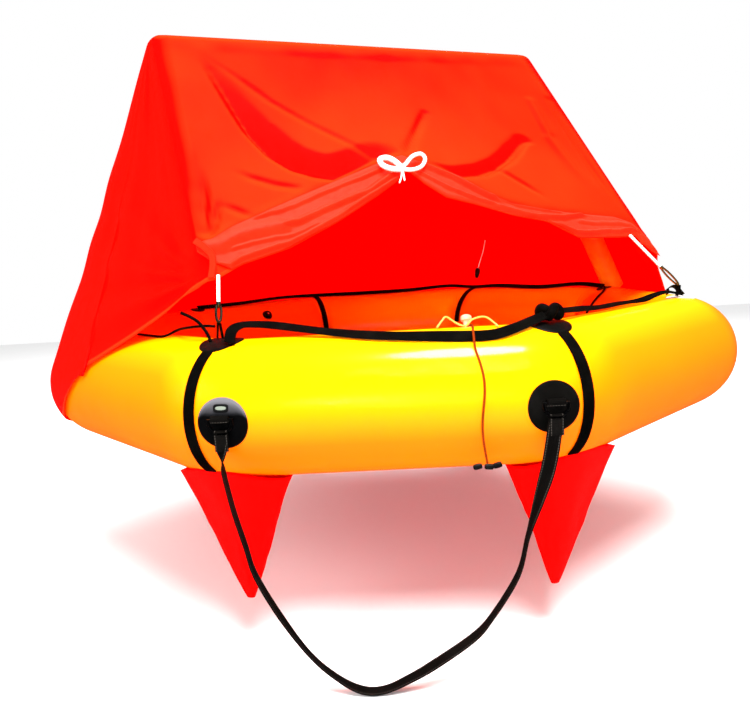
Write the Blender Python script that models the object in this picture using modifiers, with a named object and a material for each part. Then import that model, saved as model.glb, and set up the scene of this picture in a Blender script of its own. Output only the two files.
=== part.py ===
"""Four person life raft: one octagonal inflated tube with a floor sheet, a tent canopy on an
inflated arch, ballast bags underneath, webbing lifelines and a hanging boarding strap.

Metres, +Z up. The origin is the raft's middle on the still water surface, which touches the
underside of the empty raft. The front, with the two strap patches, faces -Y. The canopy's ridge
runs along the tube's diagonal, so the doorway faces one corner of the octagon.
"""
import math

import bmesh
import bpy
from mathutils import Vector

# Inflated tube: a regular octagon with a flat side to the front.
TUBE_RADIUS = 0.127
TUBE_Z = TUBE_RADIUS
RING_CORNER_RADIUS = 0.765      # middle of the raft to the sharp corner of the centre line
CORNER_BEND = 0.14              # centre line radius of each rounded corner
SIDES = 8
FIRST_CORNER = math.radians(22.5)
HALF_TURN = math.pi / SIDES
APOTHEM = RING_CORNER_RADIUS * math.cos(HALF_TURN)
HALF_ARC = CORNER_BEND * HALF_TURN
CORNER_PITCH = 2 * (APOTHEM - CORNER_BEND) * math.tan(HALF_TURN) + 2 * HALF_ARC
FRONT_FACE_Y = -APOTHEM - TUBE_RADIUS

# Corners counted anticlockwise from the one right of the middle.
RIGHT, REAR_RIGHT, REAR_LEFT, LEFT_REAR, LEFT, FRONT_LEFT, FRONT_RIGHT, RIGHT_FRONT = range(SIDES)

GAP = 0.0003                    # between solids that touch
SEAT = 0.0006                   # a faceted patch over the faceted tube
FLOOR_THICKNESS = 0.002

# Canopy axes: along the ridge, and from the ridge towards the doorway.
ALONG = Vector((math.cos(FIRST_CORNER), math.sin(FIRST_CORNER), 0))
FORWARD = Vector((math.sin(FIRST_CORNER), -math.cos(FIRST_CORNER), 0))
UP = Vector((0, 0, 1))
RIDGE_HALF = 0.4975
RIDGE_SHIFT = -0.0475           # the ridge's middle lies left of the raft's middle
RIDGE_TOP = 0.947
CLOTH = 0.003
RIDGE_ROUND = 0.042             # outside radius of the fabric over the arch
ARCH_RADIUS = 0.032
ARCH_BEND = 0.10
ARCH_FOOT = Vector((0.830, 0.172))    # reach and height of the leg's lower end, inside the tube
HEM_ANGLE = math.radians(-44)   # where the hem ends on the outside of the tube
CLOTH_LIFT = 0.0010             # between the tube and the fabric glued on it
LOOSE_LIFT = 0.0060             # the free front hems stand off the tube a little
DOOR_EDGE_ROUND = 0.020

# The doorway's top edge: place along the ridge, then the share of the slope that the fabric covers.
DOOR_HEM = ((-1.0, 0.835), (-0.884, 0.793), (-0.689, 0.753), (-0.459, 0.678), (-0.237, 0.593),
            (-0.10, 0.535), (-0.05, 0.505), (0.0, 0.555), (0.077, 0.607), (0.203, 0.635), (0.365, 0.679),
            (0.518, 0.705), (0.635, 0.768), (0.72, 0.771), (0.948, 0.774), (1.0, 0.80))
# The door flap is gathered along that edge in a flat band, whose upper edge lies here.
BAND_TOP = ((-0.975, 0.716), (-0.888, 0.681), (-0.743, 0.637), (-0.57, 0.587), (-0.392, 0.538),
            (-0.179, 0.480), (-0.10, 0.462), (-0.05, 0.452), (0.0, 0.468), (0.089, 0.497), (0.196, 0.537),
            (0.289, 0.603), (0.383, 0.640), (0.566, 0.669), (0.72, 0.685), (0.886, 0.700), (0.965, 0.726))
BAND_HALF_THICKNESS = 0.007

# Soft fittings.
PATCH_RADIUS = 0.045
PATCH_THICKNESS = 0.002
GIRTH_WIDTH = 0.019
RIGHT_POST = REAR_RIGHT - 0.08  # place of the right inner webbing, in corner pitches
WEBBING_THICKNESS = 0.0025
BAG_TOP_RADIUS = 0.146
BAG_FLATNESS = 0.623            # its width across the tube, as a share of that along it
BAG_TIP_RADIUS = 0.016
BAG_TIP_Z = -0.252
BAG_TOP_Z = 0.070
BAGS = (("ballast_bag_front_left", FRONT_LEFT, -0.007), ("ballast_bag_front_right", FRONT_RIGHT + 0.03, 0.020),
        ("ballast_bag_rear_right", REAR_RIGHT, 0.0), ("ballast_bag_rear_left", REAR_LEFT, 0.0))

# Boarding strap and its two rings.
STRAP_PATCH_X = 0.277
PATCH_FROM_CORNER = 0.0625      # along the tube's outer side, to the patch's middle
STRAP_WIDTH = 0.025
STRAP_THICKNESS = 0.003
RING_ROD = 0.0025
RING_HALF_WIDTH = 0.020
RING_DROP = 0.024
KEEPER_DEPTH = 0.012
KEEPER_WIDTH = 0.030
KEEPER_HEIGHT = 0.014
HINGE_Y = FRONT_FACE_Y - SEAT - PATCH_THICKNESS - KEEPER_DEPTH / 2 - GAP
HINGE_Z = TUBE_Z + 0.010

FABRIC_RED = (0.80, 0.02, 0.01)
TUBE_YELLOW = (0.95, 0.72, 0.02)
WEB_BLACK = (0.015, 0.013, 0.012)
CORD_WHITE = (0.85, 0.83, 0.78)
STEEL = (0.55, 0.55, 0.56)

PART_COLLECTION = bpy.data.collections.new("life_raft")
CUTTERS = bpy.data.collections.new("cutters")
MATERIALS = {}


def clear_scene():
    """Remove what the opened file holds and link the two collections."""
    for item in list(bpy.data.objects):
        bpy.data.objects.remove(item, do_unlink=True)
    for collection in (PART_COLLECTION, CUTTERS):
        bpy.context.scene.collection.children.link(collection)


def material(name, colour, roughness, metallic=0.0):
    """One Principled material for each finish, made once."""
    if name in MATERIALS:
        return MATERIALS[name]
    made = bpy.data.materials.new(name)
    made.use_nodes = True
    shader = made.node_tree.nodes["Principled BSDF"]
    shader.inputs["Base Color"].default_value = (*colour, 1.0)
    shader.inputs["Roughness"].default_value = roughness
    shader.inputs["Metallic"].default_value = metallic
    MATERIALS[name] = made
    return made


def fabric():
    return material("coated_fabric_red", FABRIC_RED, 0.55)


def rubber_yellow():
    return material("coated_tube_yellow", TUBE_YELLOW, 0.35)


def webbing():
    return material("webbing_black", WEB_BLACK, 0.8)


def white_cord():
    return material("cord_white", CORD_WHITE, 0.8)


def steel():
    return material("steel", STEEL, 0.3, 1.0)


def place(item, finish, collection=PART_COLLECTION):
    """Link an object with its material, shaded smooth over its rounds."""
    collection.objects.link(item)
    item.data.materials.append(finish)
    if item.type == "MESH" and collection is PART_COLLECTION:
        item.data.shade_smooth()
        item.data.set_sharp_from_angle(angle=math.radians(35))
    return item


def make_cutter(item):
    item.hide_render = True
    item.display_type = "WIRE"
    return item


def cut(item, cutter):
    """Boolean difference with the exact solver."""
    step = item.modifiers.new("cut_" + cutter.name, "BOOLEAN")
    step.operation = "DIFFERENCE"
    step.solver = "EXACT"
    step.object = cutter


def centre_line(s):
    """Point on the ring's centre line and its outward direction, s metres from the first corner."""
    corner = round(s / CORNER_PITCH)
    along = s - corner * CORNER_PITCH
    middle = FIRST_CORNER + 2 * HALF_TURN * corner
    turn = max(-HALF_ARC, min(HALF_ARC, along)) / CORNER_BEND
    outward = Vector((math.cos(middle + turn), math.sin(middle + turn), 0))
    tangent = Vector((-outward.y, outward.x, 0))
    pivot_radius = RING_CORNER_RADIUS - CORNER_BEND / math.cos(HALF_TURN)
    pivot = Vector((math.cos(middle), math.sin(middle), 0)) * pivot_radius
    return pivot + outward * CORNER_BEND + tangent * (along - turn * CORNER_BEND), outward


def on_tube(s, angle, lift=0.0):
    """Point over the tube: angle 0 is its outer side and a quarter turn its top."""
    point, outward = centre_line(s)
    reach = TUBE_RADIUS + lift
    return point + outward * (math.cos(angle) * reach) + UP * (TUBE_Z + math.sin(angle) * reach)


def beside(s, angle, offset):
    """Centre line place of a point that lies offset metres along the tube's surface from s."""
    corner = round(s / CORNER_PITCH)
    bend = CORNER_BEND + TUBE_RADIUS * math.cos(angle)
    half = bend * HALF_TURN
    along = s - corner * CORNER_PITCH
    if abs(along) <= HALF_ARC:
        surface = along * bend / CORNER_BEND
    else:
        surface = math.copysign(half + abs(along) - HALF_ARC, along)
    surface += offset
    if abs(surface) <= half:
        return corner * CORNER_PITCH + surface * CORNER_BEND / bend
    return corner * CORNER_PITCH + math.copysign(HALF_ARC + abs(surface) - half, surface)


def ring_stations():
    """Places around the centre line: five on each rounded corner, none between."""
    steps = (-1, -0.5, 0, 0.5, 1)
    return [corner * CORNER_PITCH + step * HALF_ARC for corner in range(SIDES) for step in steps]


def poly_curve(name, points, radius, finish, cyclic=False, resolution=2, radii=None,
               collection=PART_COLLECTION):
    """A round tube along straight steps between points."""
    data = bpy.data.curves.new(name, "CURVE")
    data.dimensions = "3D"
    data.bevel_depth = radius
    data.bevel_resolution = resolution
    data.use_fill_caps = True
    line = data.splines.new("POLY")
    line.points.add(len(points) - 1)
    for i, point in enumerate(points):
        line.points[i].co = (*point, 1.0)
        if radii:
            line.points[i].radius = radii[i]
    line.use_cyclic_u = cyclic
    item = bpy.data.objects.new(name, data)
    return place(item, finish, collection)


def smooth_route(knots, count):
    """Evenly spaced points on a Catmull-Rom curve through the knots."""
    knots = [Vector(knot) for knot in knots]
    padded = [2 * knots[0] - knots[1]] + knots + [2 * knots[-1] - knots[-2]]
    fine = []
    for i in range(1, len(padded) - 2):
        a, b, c, d = padded[i - 1:i + 3]
        for step in range(20):
            t = step / 20
            fine.append(0.5 * (2 * b + (c - a) * t + (2 * a - 5 * b + 4 * c - d) * t * t
                               + (3 * b - a - 3 * c + d) * t ** 3))
    fine.append(knots[-1])
    lengths = [0.0]
    for first, second in zip(fine, fine[1:]):
        lengths.append(lengths[-1] + (second - first).length)
    route = []
    j = 0
    for i in range(count):
        target = lengths[-1] * i / (count - 1)
        while j < len(fine) - 2 and lengths[j + 1] < target:
            j += 1
        span = max(lengths[j + 1] - lengths[j], 1e-9)
        route.append(fine[j].lerp(fine[j + 1], min(1.0, (target - lengths[j]) / span)))
    return route


def mesh_of_curve(item):
    """Turn a curve object into a mesh object with its caps welded."""
    graph = bpy.context.evaluated_depsgraph_get()
    data = bpy.data.meshes.new_from_object(item.evaluated_get(graph))
    data.name = item.name
    shape = bmesh.new()
    shape.from_mesh(data)
    bmesh.ops.remove_doubles(shape, verts=shape.verts, dist=0.00005)
    bmesh.ops.recalc_face_normals(shape, faces=shape.faces)
    shape.to_mesh(data)
    shape.free()
    collection = item.users_collection[0]
    name, matrix = item.name, item.matrix_world.copy()
    bpy.data.objects.remove(item, do_unlink=True)
    made = bpy.data.objects.new(name, data)
    made.matrix_world = matrix
    collection.objects.link(made)
    made.data.shade_smooth()
    made.data.set_sharp_from_angle(angle=math.radians(35))
    return made


def mesh_object(name, shape, finish, collection=PART_COLLECTION):
    """Turn a bmesh into a linked object."""
    data = bpy.data.meshes.new(name)
    shape.to_mesh(data)
    shape.free()
    return place(bpy.data.objects.new(name, data), finish, collection)


def sheet_object(name, rows, thickness, finish, offset=1.0):
    """An open grid of points, given thickness by Solidify. Rows run so that the outside is up."""
    shape = bmesh.new()
    grid = [[shape.verts.new(point) for point in row] for row in rows]
    for upper, lower in zip(grid, grid[1:]):
        for i in range(len(upper) - 1):
            shape.faces.new((upper[i], lower[i], lower[i + 1], upper[i + 1]))
    bmesh.ops.remove_doubles(shape, verts=shape.verts, dist=0.00001)
    item = mesh_object(name, shape, finish)
    solid = item.modifiers.new("thickness", "SOLIDIFY")
    solid.thickness = thickness
    solid.offset = offset
    return item


def tube_band(name, corner, start, end, width, thickness, lift, finish):
    """A webbing band that follows the tube's round at one corner."""
    steps = max(2, round(abs(end - start) / math.radians(6)))
    rows = []
    for side in (-0.5, 0.5):
        row = []
        for i in range(steps + 1):
            angle = start + (end - start) * i / steps
            row.append(on_tube(beside(corner * CORNER_PITCH, angle, side * width), angle, lift))
        rows.append(row)
    if end < start:
        rows.reverse()
    return sheet_object(name, rows, thickness, finish)


def tube_patch(name, s, angle, radius, thickness, lift, finish):
    """A round patch glued on the tube, bent to its surface."""
    rings, spokes = 3, 22
    shape = bmesh.new()

    def spot(share, turn):
        across = math.cos(turn) * radius * share
        around = angle + math.sin(turn) * radius * share / TUBE_RADIUS
        return on_tube(beside(s, around, across), around, lift)

    middle = shape.verts.new(spot(0, 0))
    last = None
    for ring in range(1, rings + 1):
        loop = [shape.verts.new(spot(ring / rings, 2 * math.pi * i / spokes)) for i in range(spokes)]
        for i in range(spokes):
            j = (i + 1) % spokes
            corners = (middle, loop[i], loop[j]) if last is None else (last[i], loop[i], loop[j], last[j])
            shape.faces.new(corners)
        last = loop
    item = mesh_object(name, shape, finish)
    solid = item.modifiers.new("thickness", "SOLIDIFY")
    solid.thickness = thickness
    solid.offset = 1.0
    return item


def build_tube():
    """The buoyancy tube, and a slightly larger copy that cuts what is glued to it."""
    points = [centre_line(s)[0] + UP * TUBE_Z for s in ring_stations()]
    poly_curve("buoyancy_tube", points, TUBE_RADIUS, rubber_yellow(), cyclic=True, resolution=14)
    larger = poly_curve("tube_cutter", points, TUBE_RADIUS + GAP, rubber_yellow(), cyclic=True,
                        resolution=14, collection=CUTTERS)
    return make_cutter(mesh_of_curve(larger))


def octagon_plate(name, apothem, top, bottom, finish, collection=PART_COLLECTION):
    """A flat octagonal plate between two heights."""
    shape = bmesh.new()
    bmesh.ops.create_cone(shape, cap_ends=True, segments=SIDES, radius1=apothem / math.cos(HALF_TURN),
                          radius2=apothem / math.cos(HALF_TURN), depth=top - bottom)
    rotation = FIRST_CORNER
    for vertex in shape.verts:
        x, y = vertex.co.x, vertex.co.y
        vertex.co.x = x * math.cos(rotation) - y * math.sin(rotation)
        vertex.co.y = x * math.sin(rotation) + y * math.cos(rotation)
        vertex.co.z += (top + bottom) / 2
    return mesh_object(name, shape, finish, collection)


def build_floor():
    """The floor sheet is glued along the tube's lowest line."""
    octagon_plate("floor_sheet", APOTHEM, -GAP, -GAP - FLOOR_THICKNESS, fabric())
    plate = octagon_plate("floor_cutter", APOTHEM + GAP, 0.05, -2 * GAP - FLOOR_THICKNESS, fabric(), CUTTERS)
    return make_cutter(plate)


def ridge_point(share):
    """On the arch's top bar axis: share -1 is its left end and 1 its right end."""
    return ALONG * (RIDGE_SHIFT + RIDGE_HALF * share) + UP * (RIDGE_TOP - RIDGE_ROUND)


def from_table(table, share):
    """Height on the slope at one place along the ridge, straight between the table's rows."""
    for (left, low), (right, high) in zip(table, table[1:]):
        if share <= right:
            return low + (high - low) * max(0.0, (share - left) / (right - left))
    return table[-1][1]


def slope_rib(top, centre, outward, reach, cover, hem):
    """Points of the canopy from its ridge down one rib, over a circle that it leaves the slope at.

    cover below 1 ends the rib on the slope, otherwise it wraps the circle down to the angle hem.
    """
    arc_rows, slope_rows, wrap_rows = 4, 5, 9
    inner = RIDGE_ROUND - CLOTH
    apart = centre - top
    flat = apart.dot(outward)
    lean = math.atan2(apart.z, flat) + math.acos((inner - reach) / math.hypot(flat, apart.z))
    normal = outward * math.cos(lean) + UP * math.sin(lean)
    points = []
    for i in range(arc_rows):
        angle = math.pi / 2 + (lean - math.pi / 2) * i / arc_rows
        points.append(top + (outward * math.cos(angle) + UP * math.sin(angle)) * inner)
    start, end = top + normal * inner, centre + normal * reach
    if cover < 1.0:
        loose_from = 0.88
        points += [start.lerp(end, cover * loose_from * i / slope_rows) for i in range(slope_rows)]
        points += [start.lerp(end, cover * (loose_from + (1 - loose_from) * i / wrap_rows))
                   for i in range(wrap_rows + 1)]
        return points
    points += [start.lerp(end, i / slope_rows) for i in range(slope_rows)]
    for i in range(wrap_rows + 1):
        angle = lean + (hem - lean) * i / wrap_rows
        points.append(centre + (outward * math.cos(angle) + UP * math.sin(angle)) * reach)
    return points


def ridge_share(s):
    """Where the rib at s meets the ridge: the side panels' ribs all meet at its ends."""
    sideways = centre_line(s)[0].dot(ALONG)
    corner_reach = RING_CORNER_RADIUS * math.sin(math.pi / 4)
    if abs(sideways) > corner_reach - CORNER_BEND:
        return math.copysign(1.0, sideways)
    return sideways / corner_reach


def attached_rib(s):
    """A rib that ends on the tube, between the right front and the front left corner."""
    point, outward = centre_line(s)
    centre = point + UP * TUBE_Z
    share = ridge_share(s)
    from_door = min(s / CORNER_PITCH + 1, FRONT_LEFT - s / CORNER_PITCH)
    loose_share = 0.62
    reach = TUBE_RADIUS + (LOOSE_LIFT if from_door < 1 else CLOTH_LIFT)
    if from_door >= 1:
        return slope_rib(ridge_point(share), centre, outward, reach, 1.0, HEM_ANGLE)
    if from_door >= loose_share:
        drop = (from_door - loose_share) / (1 - loose_share)
        hem = math.radians(35) + (HEM_ANGLE - math.radians(35)) * drop
        return slope_rib(ridge_point(share), centre, outward, reach, 1.0, hem)
    blend = from_door / loose_share
    small = DOOR_EDGE_ROUND + (reach - DOOR_EDGE_ROUND) * blend
    centre = centre + UP * (reach - small)
    door_side = from_table(DOOR_HEM, share)
    cover = door_side + (0.97 - door_side) * blend
    return slope_rib(ridge_point(share), centre, outward, small, cover, 0)


def door_rib(share, cover=None):
    """A rib of the front panel, which ends at the door's top edge or at another share of the slope."""
    forward = RING_CORNER_RADIUS * math.sin(math.pi / 4)
    centre = (ALONG * (share * forward) + FORWARD * forward
              + UP * (TUBE_Z + TUBE_RADIUS + SEAT - DOOR_EDGE_ROUND))
    if cover is None:
        cover = from_table(DOOR_HEM, share)
    return slope_rib(ridge_point(share), centre, FORWARD, DOOR_EDGE_ROUND, cover, 0)


def door_normal():
    """The front panel is flat: the direction that it faces."""
    rib = door_rib(0.0)
    normal = ALONG.cross(rib[-1] - rib[-2]).normalized()
    return normal if normal.dot(UP) > 0 else -normal


def canopy_stations():
    """Rib places on the tube, closer together where the hem climbs down it."""
    places = []
    for corner in range(-1, FRONT_LEFT + 1):
        for step in (-1, -0.5, 0, 0.5, 1):
            if corner == -1 and step < 0 or corner == FRONT_LEFT and step > 0:
                continue
            places.append(corner * CORNER_PITCH + step * HALF_ARC)
        if corner == FRONT_LEFT:
            continue
        steps = {-1: 9, LEFT: 9, REAR_RIGHT: 6, REAR_LEFT: 6}.get(corner, 2)
        straight = CORNER_PITCH - 2 * HALF_ARC
        for i in range(1, steps):
            places.append(corner * CORNER_PITCH + HALF_ARC + straight * i / steps)
    return places


def build_canopy():
    """One continuous sheet with the doorway left open, a few millimetres thick."""
    ribs = [attached_rib(s) for s in canopy_stations()]
    ribs += [door_rib(share) for share in door_shares()]
    ribs.append(ribs[0])
    shape = bmesh.new()
    grid = [[shape.verts.new(point) for point in rib] for rib in ribs]
    for first, second in zip(grid, grid[1:]):
        for i in range(len(first) - 1):
            shape.faces.new((first[i], first[i + 1], second[i + 1], second[i]))
    bmesh.ops.remove_doubles(shape, verts=shape.verts, dist=0.00001)
    item = mesh_object("canopy", shape, fabric())
    solid = item.modifiers.new("thickness", "SOLIDIFY")
    solid.thickness = CLOTH
    solid.offset = 1.0


def build_arch(tube_cutter):
    """The inflated arch stands on the tube's left and right corners."""
    right = [ALONG * reach + UP * height for reach, height in arch_half(RIDGE_HALF + RIDGE_SHIFT)]
    left = [ALONG * -reach + UP * height for reach, height in arch_half(RIDGE_HALF - RIDGE_SHIFT)]
    arch = poly_curve("canopy_arch", right + left[::-1], ARCH_RADIUS, rubber_yellow(), resolution=6)
    cut(mesh_of_curve(arch), tube_cutter)


def arch_half(bar_end):
    """One leg and its bend up to the bar, as pairs of reach from the middle and height."""
    bend = Vector((bar_end, RIDGE_TOP - RIDGE_ROUND))
    leg = (bend - ARCH_FOOT).normalized()
    bend_steps = 6
    turn = math.acos(-leg.x)
    start = bend - leg * (ARCH_BEND * math.tan(turn / 2))
    inward = Vector((-leg.y, leg.x))
    pivot = start + inward * ARCH_BEND
    half = [ARCH_FOOT]
    for i in range(bend_steps + 1):
        angle = turn * i / bend_steps
        half.append(pivot + (leg * math.sin(angle) - inward * math.cos(angle)) * ARCH_BEND)
    return half


def door_shares():
    """Ridge places of the front panel's ribs, the same as the rear panel's."""
    shares = [ridge_share(s) for s in canopy_stations() if s > 0]
    return sorted(share for share in shares if abs(share) < 1)


def door_slope(share, cover):
    """A point of the front panel's inner face, at one share of its slope."""
    return door_rib(share, cover)[-1]


def build_door_roll():
    """The door flap lies gathered in a flat band on the fabric, along the doorway's top edge."""
    sides = 12
    shape = bmesh.new()
    rings = []
    for share, top in BAND_TOP:
        upper, lower = door_slope(share, top), door_slope(share, from_table(DOOR_HEM, share))
        middle = (upper + lower) / 2 + door_normal() * (CLOTH + GAP + BAND_HALF_THICKNESS)
        rings.append([shape.verts.new(middle + (lower - upper) * (math.cos(turn) / 2)
                                      + door_normal() * (math.sin(turn) * BAND_HALF_THICKNESS))
                      for turn in (2 * math.pi * i / sides for i in range(sides))])
    for first, second in zip(rings, rings[1:]):
        for i in range(sides):
            j = (i + 1) % sides
            shape.faces.new((first[i], first[j], second[j], second[i]))
    shape.faces.new(rings[0])
    shape.faces.new(rings[-1])
    bmesh.ops.recalc_face_normals(shape, faces=shape.faces)
    mesh_object("door_roll", shape, fabric())


def under_band(share):
    """A point at the band's lower edge, halfway through its thickness."""
    lift = door_normal() * (CLOTH + GAP + BAND_HALF_THICKNESS)
    lower_edge = [(place, from_table(DOOR_HEM, place)) for place, top in BAND_TOP]
    return door_slope(share, from_table(lower_edge, share)) + lift


def build_bags(tube_cutter, floor_cutter):
    """Four water bags under the front and rear corners, folded to a point when empty.

    The last number of each row moves the bag's top sideways over its point.
    """
    for name, corner, lean in BAGS:
        point, outward = centre_line(corner * CORNER_PITCH)
        side = Vector((-outward.y, outward.x, 0))
        shape = bmesh.new()
        depth = BAG_TOP_Z - BAG_TIP_Z
        bmesh.ops.create_cone(shape, cap_ends=True, segments=16, radius1=BAG_TIP_RADIUS,
                              radius2=BAG_TOP_RADIUS, depth=depth)
        for vertex in shape.verts:
            local = vertex.co.copy()
            aside = lean * (local.z / depth + 0.5)
            vertex.co = (point + side * (local.x + aside) + outward * (local.y * BAG_FLATNESS)
                         + UP * (local.z + (BAG_TOP_Z + BAG_TIP_Z) / 2))
        bag = mesh_object(name, shape, fabric())
        cut(bag, tube_cutter)
        cut(bag, floor_cutter)


def build_girths():
    """Webbing from each front top patch down the outside of the tube to the bag."""
    for name, corner in (("left", FRONT_LEFT), ("right", FRONT_RIGHT)):
        tube_patch("top_patch_" + name, corner * CORNER_PITCH, math.radians(80), PATCH_RADIUS * 0.9,
                   PATCH_THICKNESS, SEAT, webbing())
        tube_band("girth_strap_" + name, corner, math.radians(61.3), math.radians(-43), GIRTH_WIDTH,
                  WEBBING_THICKNESS, SEAT, webbing())
    for name, corner in (("left", REAR_LEFT), ("right", RIGHT_POST)):
        tube_band("inner_post_" + name, corner, math.radians(174), math.radians(86), GIRTH_WIDTH,
                  WEBBING_THICKNESS, SEAT, webbing())
    tube_patch("loop_patch_right", RIGHT_FRONT * CORNER_PITCH, math.radians(88), PATCH_RADIUS * 0.7,
               PATCH_THICKNESS, SEAT, white_cord())
    for name, at in (("left", LEFT_REAR - 0.12), ("right", RIGHT - 0.06)):
        tube_patch("rear_line_patch_" + name, at * CORNER_PITCH, math.radians(100),
                   PATCH_RADIUS * 0.5, PATCH_THICKNESS, SEAT, webbing())
    tube_patch("topping_up_valve", 2.49 * CORNER_PITCH, math.radians(138), 0.017, 0.012, SEAT, webbing())


def build_ring(name, x):
    """A steel D ring: a straight bar in its keeper and a round bow hanging below."""
    steps = 16
    bow_z = HINGE_Z - RING_DROP + RING_HALF_WIDTH
    points = [(x + RING_HALF_WIDTH, HINGE_Y, HINGE_Z)]
    for i in range(steps + 1):
        angle = math.pi * i / steps
        points.append((x + RING_HALF_WIDTH * math.cos(angle), HINGE_Y,
                       bow_z - RING_HALF_WIDTH * math.sin(angle)))
    points.append((x - RING_HALF_WIDTH, HINGE_Y, HINGE_Z))
    poly_curve(name, points, RING_ROD, steel(), cyclic=True)


def front_of_corner(x, z, lift):
    """How far forward the tube's rounded front corner reaches at one place, with a lift."""
    pivot_radius = RING_CORNER_RADIUS - CORNER_BEND / math.cos(HALF_TURN)
    pivot_x = pivot_radius * math.sin(HALF_TURN)
    pivot_y = -pivot_radius * math.cos(HALF_TURN)
    reach = CORNER_BEND + math.sqrt((TUBE_RADIUS + lift) ** 2 - (z - TUBE_Z) ** 2)
    return pivot_y - math.sqrt(reach ** 2 - (abs(x) - pivot_x) ** 2)


def build_keeper(name, x):
    """A stitched sleeve that holds the ring's bar, its back bent to the patch."""
    shape = bmesh.new()
    bmesh.ops.create_cube(shape, size=1.0)
    bmesh.ops.subdivide_edges(shape, edges=shape.edges, cuts=1, use_grid_fill=True)
    for vertex in shape.verts:
        across, deep, up = vertex.co
        spot = Vector((x + across * KEEPER_WIDTH, HINGE_Y + deep * KEEPER_DEPTH, HINGE_Z + up * KEEPER_HEIGHT))
        if deep > 0.4:
            spot.y = front_of_corner(spot.x, spot.z, SEAT + PATCH_THICKNESS + 2 * GAP)
        vertex.co = spot
    keeper = mesh_object(name, shape, webbing())
    bore = bmesh.new()
    bmesh.ops.create_cone(bore, cap_ends=True, segments=16, radius1=RING_ROD + 0.0008,
                          radius2=RING_ROD + 0.0008, depth=0.06)
    for vertex in bore.verts:
        vertex.co = Vector((x + vertex.co.z, HINGE_Y + vertex.co.x, HINGE_Z + vertex.co.y))
    cutter = make_cutter(mesh_object(name + "_bore", bore, webbing(), CUTTERS))
    cut(keeper, cutter)


# Boarding strap route: x, z, then how far its width has turned from across to straight ahead.
TURN_STEP = 0.01                # the turn rides along as a small third coordinate
STRAP_ROUTE = (
    (-0.277, 0.110, 0.0), (-0.279, 0.085, 0.3), (-0.279, 0.050, 1.0), (-0.268, -0.020, 1.0),
    (-0.253, -0.085, 1.0), (-0.240, -0.140, 1.0), (-0.203, -0.217, 1.0), (-0.157, -0.290, 0.9),
    (-0.114, -0.334, 0.9), (-0.072, -0.360, 1.0), (-0.032, -0.362, 1.0), (0.015, -0.342, 0.85),
    (0.059, -0.317, 0.75), (0.126, -0.271, 0.85), (0.160, -0.234, 1.0), (0.207, -0.158, 1.0),
    (0.226, -0.088, 1.0), (0.247, -0.022, 0.6), (0.264, 0.035, 0.2), (0.277, 0.110, 0.0))


def build_boarding_strap():
    """The two patches, keepers and rings, and the webbing loop that hangs between the rings."""
    for name, x, corner, way in (("left", -STRAP_PATCH_X, FRONT_LEFT, 1),
                                 ("right", STRAP_PATCH_X, FRONT_RIGHT, -1)):
        s = beside(corner * CORNER_PITCH, 0.0, way * PATCH_FROM_CORNER)
        tube_patch("disc_patch_" + name, s, 0.0, PATCH_RADIUS, PATCH_THICKNESS, SEAT, webbing())
        build_keeper("ring_keeper_" + name, x)
        build_ring("d_ring_" + name, x)
    rows = [[], []]
    for point in smooth_route([(x, turn * TURN_STEP, z) for x, z, turn in STRAP_ROUTE], 60):
        angle = max(0.0, min(1.0, point.y / TURN_STEP)) * math.pi / 2
        across = Vector((math.cos(angle), -math.sin(angle), 0)) * (STRAP_WIDTH / 2)
        point.y = HINGE_Y
        rows[0].append(point - across)
        rows[1].append(point + across)
    sheet_object("boarding_strap", rows, STRAP_THICKNESS, webbing(), 0.0)


# Lifeline knots: tube place in corner pitches, angle around the tube in degrees, height above it.
ON_PATCH = SEAT + PATCH_THICKNESS + GAP
ON_POST = SEAT + WEBBING_THICKNESS + 2 * GAP
FRONT_LINE_LEFT = ((5.047, 70, ON_PATCH), (5.041, 74, ON_PATCH), (5.036, 83, 0.015), (5.05, 91, 0.021),
                   (5.095, 93, 0.021), (5.16, 92, 0.017), (5.33, 80, 0.005), (5.47, 70, 0.003),
                   (5.64, 64, 0.003), (5.80, 61, 0.003), (5.88, 66, 0.005))
FRONT_LINE_RIGHT = ((6.12, 88, 0.012), (6.22, 90, 0.009), (6.33, 90, 0.006), (6.47, 91, 0.006),
                    (6.66, 93, 0.004), (6.80, 97, 0.009), (6.90, 95, 0.012), (6.965, 86, ON_PATCH))
REAR_LINE = ((2.88, 100, ON_PATCH), (2.6, 104, 0.006), (2.3, 98, 0.008), (2.0, 96, ON_POST),
             (1.7, 104, 0.006), (1.38, 102, 0.006), (1.12, 99, 0.012), (RIGHT_POST, 97, ON_POST),
             (0.7, 100, 0.008), (0.4, 102, 0.003), (0.15, 100, 0.010), (-0.06, 100, ON_PATCH))
KNOT_RADIUS = 0.017


def lifeline(name, knots, radius, first=None, last=None):
    """A line over the knots of a table, from or to a further point where one is given."""
    route = [on_tube(s * CORNER_PITCH, math.radians(angle), lift + radius) for s, angle, lift in knots]
    route = [first] * (first is not None) + route + [last] * (last is not None)
    poly_curve(name, smooth_route(route, 30), radius, webbing())


def ball(name, middle, radius, finish):
    shape = bmesh.new()
    bmesh.ops.create_icosphere(shape, subdivisions=3, radius=radius)
    for vertex in shape.verts:
        vertex.co += middle
    return mesh_object(name, shape, finish)


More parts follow.
